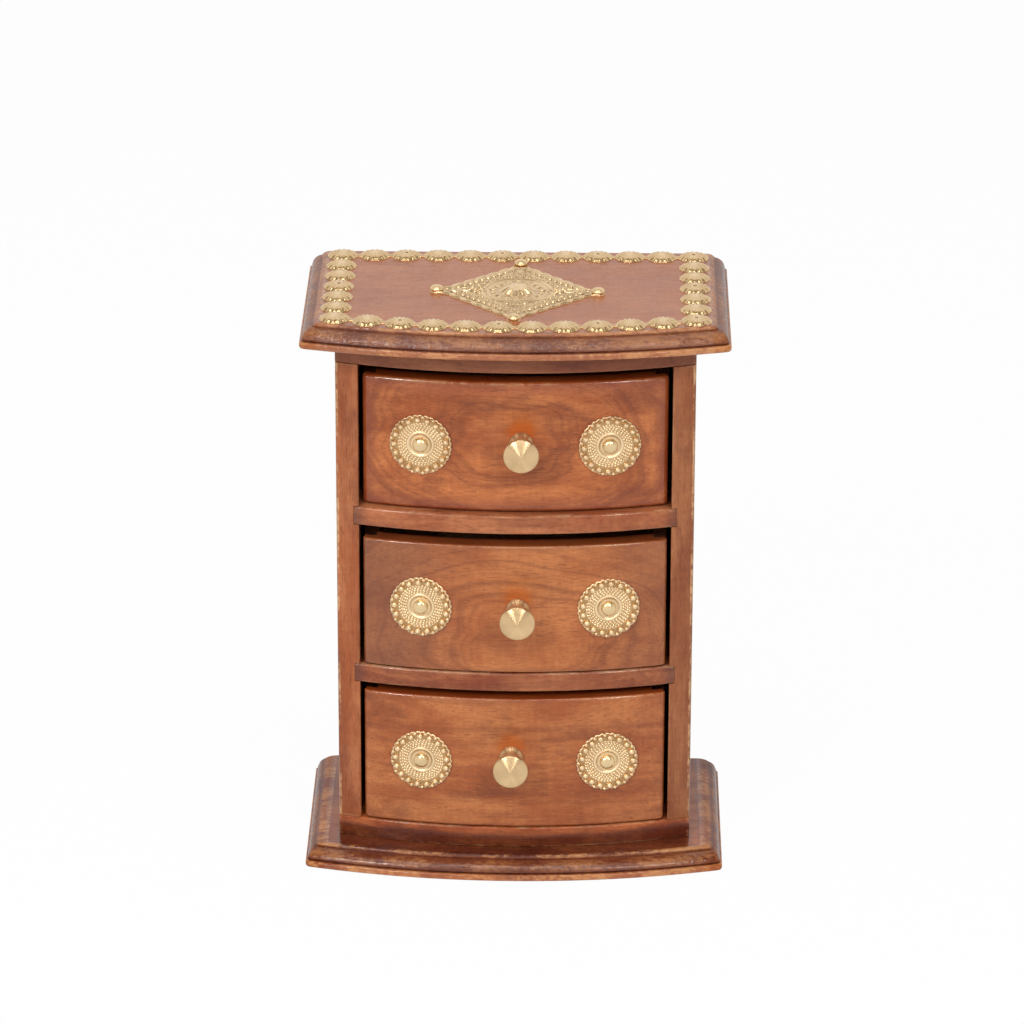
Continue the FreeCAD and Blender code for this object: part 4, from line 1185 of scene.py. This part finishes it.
KNOB_SHIFTS = {"bottom_drawer": -0.9, "middle_drawer": 0.9, "top_drawer": 1.8}
INNER_WOOD = wooden("inner_wood", (0, -40, 70), "Y", gloss=1.7, clouds=0.3, rings=0.2,
                    Pale=(0.56, 0.33, 0.17, 1), Rich=(0.46, 0.24, 0.11, 1), Dark=(0.25, 0.12, 0.05, 1))
FRONT_LOOKS = {  # rim's reach, stain at rim, darkening at left and right, painted knob reflection, edges' rounding, colour of stain and painted shade, wood
    "bottom_drawer": (1.4, 0.35, 0.0, 0.15, 0.5, 0.7, (0.22, 0.034, 0.007, 1),
                      dict(heart=(-30, -60, -150), stretch=7.0, clouds=0.8)),
    "middle_drawer": (2.2, 0.4, 0.8, 0.5, 0.5, 0.6, (0.14, 0.035, 0.013, 1),
                      dict(heart=(7.5, -34, 84), stretch=2.2, rings=0.42, clouds=0.6)),
    "top_drawer": (6.2, 0.95, 0.0, 0.25, 0.7, 1.0, (0.21, 0.033, 0.007, 1),
                   dict(heart=(-4.3, -34, 146.7), stretch=1.9, rings=0.52, clouds=0.9, ring_width=3.7,
                        Pale=(0.60, 0.200, 0.060, 1))),
}
for body, (reach, rim_stain, left_darkening, right_darkening, glow_strength, rounding, stain, look) in FRONT_LOOKS.items():
    node = body + "_front"
    low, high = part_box(node)
    knob_low, knob_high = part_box(body.replace("_drawer", "_knob"))
    # Painted light on each front: its brass knob's reflection painted round the knob's foot, and a faint glow
    # painted on its top.
    painted_glow = painted_glow_mask(high.z / MM, KNOB_SHIFTS[body], (knob_low.z + knob_high.z) / 2 / MM + GLOW_RISE, glow_strength)
    material = wooden(node + "_wood", hollow=face_stain_and_shade(low, high, reach, rim_stain, left_darkening, right_darkening),
                      crest=vertex_mask("crest"), shine=0.3, edge_coat=1.0, peel=0.6,
                      painted_light=(painted_glow, PAINTED_GLOW_TONE), finish={"Stain": stain}, **look)
    mesh = finished(drawer_front(body, rounding * MM), node + "_finished", FACE_CRISPNESS)
    show(mesh, material, body, node)
    for board in ("_side_left", "_side_right", "_back", "_bottom"):
        dress(body + board, INNER_WOOD)

# ------------------------------------------------------------------ knobs
# Turned from brass rod: a foot, a waisted neck that flares, and a head with a shallow cone on its
# face.  The tool has left fine rings.  A steel screw holds each from inside the drawer.

KNOB_PROFILE = ((0, 0), (3.6, 0), (3.6, 0.8), (3.1, 1.3), (2.75, 2.1), (2.6, 3.4), (2.66, 5.0), (2.95, 6.3),
                (3.5, 7.4), (4.3, 8.5), (4.95, 9.1), (5.2, 9.4), (5.25, 9.8), (5.25, 10.7), (5.16, 10.95),
                (4.9, 11.12), (3.7, 11.5), (2.4, 11.87), (1.2, 12.15), (0.35, 12.29), (0, 12.3))
KNOB_SPOKES = 64
KNOB_LIFT = 0.06 * MM
KNOB_CRISPNESS = 50
RING_SLANT = 0.4
UNROLLED_SCALE = 50
ON_AXIS = 0.001 * MM


def turned_brass():
    """Brass with the fine rings that a lathe leaves, and their streak of light."""
    material, surface, _ = brass_surface("turned_brass", 1.0, Brass=(0.76, 0.53, 0.29, 1))
    tree = material.node_tree
    set_bump(surface, line_noise(vertex_mask("from_axis")(tree) * (1 / MM), 5.0, 3.0), 0.025 * MM, 1.0)
    feed(surface["Roughness"], 0.31)
    feed(surface["Anisotropic"], 0.95)
    feed(surface["Anisotropic Rotation"], 0.25)
    feed(surface["Tangent"], add_node(tree, "ShaderNodeTangent", direction_type="UV_MAP", uv_map="round")[0])
    return material


def in_mm(profile):
    return [(radius * MM, z * MM) for radius, z in profile]


def face_place(body, node, x):
    """Place on a drawer's bowed face at a node's height, the way out of it there, and the turn
    that points an axis along Z that way."""
    low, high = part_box(node)
    y = on_bow(x, FACE_CENTRE_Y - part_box(body + "_front")[0].y)
    out = Vector((x, y - FACE_CENTRE_Y, 0)).normalized()
    return Vector((x, y, (low.z + high.z) / 2)), out, Matrix((UP.cross(out), UP, out)).transposed().to_4x4()


def stand_on(build, place, turn):
    bmesh.ops.transform(build, verts=build.verts, matrix=Matrix.Translation(place) @ turn)
    return build


TURNED_BRASS = turned_brass()
for body in FRONT_LOOKS:
    node = body.replace("_drawer", "_knob")
    place, out, turn = face_place(body, node, KNOB_SHIFTS[body] * MM)
    build = lathe(in_mm(KNOB_PROFILE), KNOB_SPOKES)
    from_axis = build.verts.layers.float.new("from_axis")
    for vert in build.verts:
        vert[from_axis] = math.hypot(vert.co.x, vert.co.y) + RING_SLANT * vert.co.z
    unrolled = build.loops.layers.uv.new("round")
    for face in build.faces:
        middle = face.calc_center_median()
        facing = math.atan2(middle.y, middle.x)
        for loop in face.loops:
            x, y, z = loop.vert.co
            off_axis = math.hypot(x, y)
            turned = math.atan2(y, x) if off_axis > ON_AXIS else facing
            turned += 2 * math.pi * round((facing - turned) / (2 * math.pi))
            loop[unrolled].uv = (turned, (z - off_axis) * UNROLLED_SCALE)
    stand_on(build, place + out * KNOB_LIFT, turn)
    show(finished(build, node + "_turned", KNOB_CRISPNESS), TURNED_BRASS, body, node)
    dress(node + "_screw", NAIL_STEEL)

# ------------------------------------------------------------------ rosettes
# Stamped brass discs with a scalloped double rim, seventeen large beads with small ones in the
# gaps, rings of fine beading, and a raised collar round the pin.

ROSETTE_LOBES = 17
ROSETTE_RADIUS = 9.5 * MM
ROSETTE_INSET = 17.35 * MM
ROSETTE_LIFT = 0.04 * MM
ROSETTE_SHARES = [i / 40 for i in range(1, 36)] + [0.89, 0.91, 0.93, 0.95, 0.965, 0.98, 0.99, 1.0]
ROSETTE_SPREAD = 57  # as DISC_SPREAD
BEAD_RINGS = (  # beads, circle radius, bead radius, height of the bead's middle, how high for its width
    (17, 7.95, 0.90, 0.72, 1.0), (17, 8.88, 0.58, 0.55, 1.0), (30, 4.6, 0.35, 0.34, 0.6),
    (34, 5.25, 0.35, 0.33, 0.6), (38, 5.9, 0.35, 0.32, 0.6), (43, 6.55, 0.34, 0.32, 0.6))
DOME_PROFILE = ((0, 0), (2.35, 0), (2.35, 0.25), (2.27, 0.62), (2.05, 0.95), (1.65, 1.25), (1.1, 1.48),
                (0.55, 1.6), (0, 1.64))
DOME_SPOKES = 32
BALL_SEGMENTS = 10
BALL_RINGS = 6
DOME_LIFT = 0.49 * MM


def rosette_edge(angle):
    return ROSETTE_RADIUS * (0.965 + 0.035 * petal(angle, ROSETTE_LOBES * 2))


def rosette_height(x, y, share, angle):
    radius = math.hypot(x, y) / MM
    z = 0.32 + 0.30 * ridge(radius - 3.75, 0.42) + 0.10 * ridge(radius - 7.25, 0.25)
    z += 0.12 * ridge(share - 0.965, 0.02) - 0.14 * ridge(radius - 3.0, 0.3)
    # The plate is darkened round and under the beads: tarnish in these hollows, and painted contact shade
    # that outlines the beads.
    dark = 0.55 * ridge(radius - 3.0, 0.35) + 0.4 * ridge(radius - 7.3, 0.3)
    dark += 0.35 * ridge(share - 0.93, 0.02)
    if 4.1 < radius < 7.0:
        dark += 0.7
    else:
        dark += 0.95 * eased_step(radius, 6.9, 7.1) * (1 - eased_step(share, 0.95, 0.98))
    return z * (1 - 0.5 * eased_step(share, 0.98, 1.0)) * MM, min(dark, 0.95)


def bead_ring_group():
    """Geometry nodes that add a ring of half-sunk beads to what they are given."""
    tree, given = copies_group(
        "bead_ring", ("Int", "Beads"), ("Float", "Circle Radius"), ("Float", "Bead Radius"),
        ("Float", "Height"), ("Vector", "Flatness"), ("Float", "Turn"))
    circle = add_node(tree, "GeometryNodeMeshCircle", {
        "Vertices": given["Beads"], "Radius": given["Circle Radius"]})[0]
    ball = add_node(tree, "GeometryNodeMeshUVSphere", {
        "Segments": BALL_SEGMENTS, "Rings": BALL_RINGS, "Radius": given["Bead Radius"]})[0]
    ring = add_node(tree, "GeometryNodeInstanceOnPoints", {
        "Points": circle, "Instance": ball, "Scale": given["Flatness"]})[0]
    placed = add_node(tree, "GeometryNodeTransform", {
        "Geometry": ring, "Translation": add_node(tree, "ShaderNodeCombineXYZ", {"Z": given["Height"]})[0],
        "Rotation": add_node(tree, "ShaderNodeCombineXYZ", {"Z": given["Turn"]})[0]})[0]
    both = add_node(tree, "GeometryNodeJoinGeometry", {0: placed})[0]
    feed(both.node.inputs[0], given["Geometry"])
    give_out(tree, both, given["Material"])
    return tree


BEAD_RING = bead_ring_group()
ROSETTE_BRASS = brass("rosette_brass", 0.008 * MM, 2.4, 1.45, Brass=(0.93, 0.72, 0.45, 1),
                      Tarnish=(0.36, 0.18, 0.055, 1))
PIN_DOME_BRASS = brass("pin_dome_brass", 0.01 * MM, Brass=(0.80, 0.60, 0.34, 1))

# One rosette lies flat with its middle at the origin, and each drawer gets two copies.
plate = pattern_object(relief(rosette_edge, rosette_height, ROSETTE_LOBES * 8, ROSETTE_SHARES),
                       "rosette_plate", STAMPED_CRISPNESS)
for number, (beads, circle, radius, height, flatness) in enumerate(BEAD_RINGS):
    add_maker(plate, BEAD_RING, Beads=beads, Circle_Radius=circle * MM, Bead_Radius=radius * MM,
              Height=height * MM, Flatness=(1, 1, flatness), Turn=math.pi / beads * (number % 2),
              Material=ROSETTE_BRASS)
rosette = made_plain(plate)

for body in FRONT_LOOKS:
    domes = []
    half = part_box(body + "_front")[1].x
    for side, x in (("left", -1), ("right", 1)):
        node = body.replace("_drawer", "_rosette_") + side
        place, out, turn = face_place(body, node, x * (half - ROSETTE_INSET))
        build = bmesh.new()
        build.from_mesh(rosette)
        spin = Matrix.Rotation(noise.noise(place * ROSETTE_SPREAD), 4, "Z")
        stand_on(build, place + out * ROSETTE_LIFT, turn @ spin)
        mesh = bpy.data.meshes.new(node + "_stamped")
        build.to_mesh(mesh)
        build.free()
        show(mesh, ROSETTE_BRASS, body, node)
        dome = stand_on(lathe(in_mm(DOME_PROFILE), DOME_SPOKES), place + out * DOME_LIFT, turn)
        domes.append(finished(dome, node + "_pin"))
    pins_node = body.replace("_drawer", "_rosette_pins")
    show(joined(pins_node + "_domed", domes), PIN_DOME_BRASS, body, pins_node)

for pattern in (disc_pattern, link_pattern, pin_pattern, stud_pattern):
    bpy.data.objects.remove(pattern)
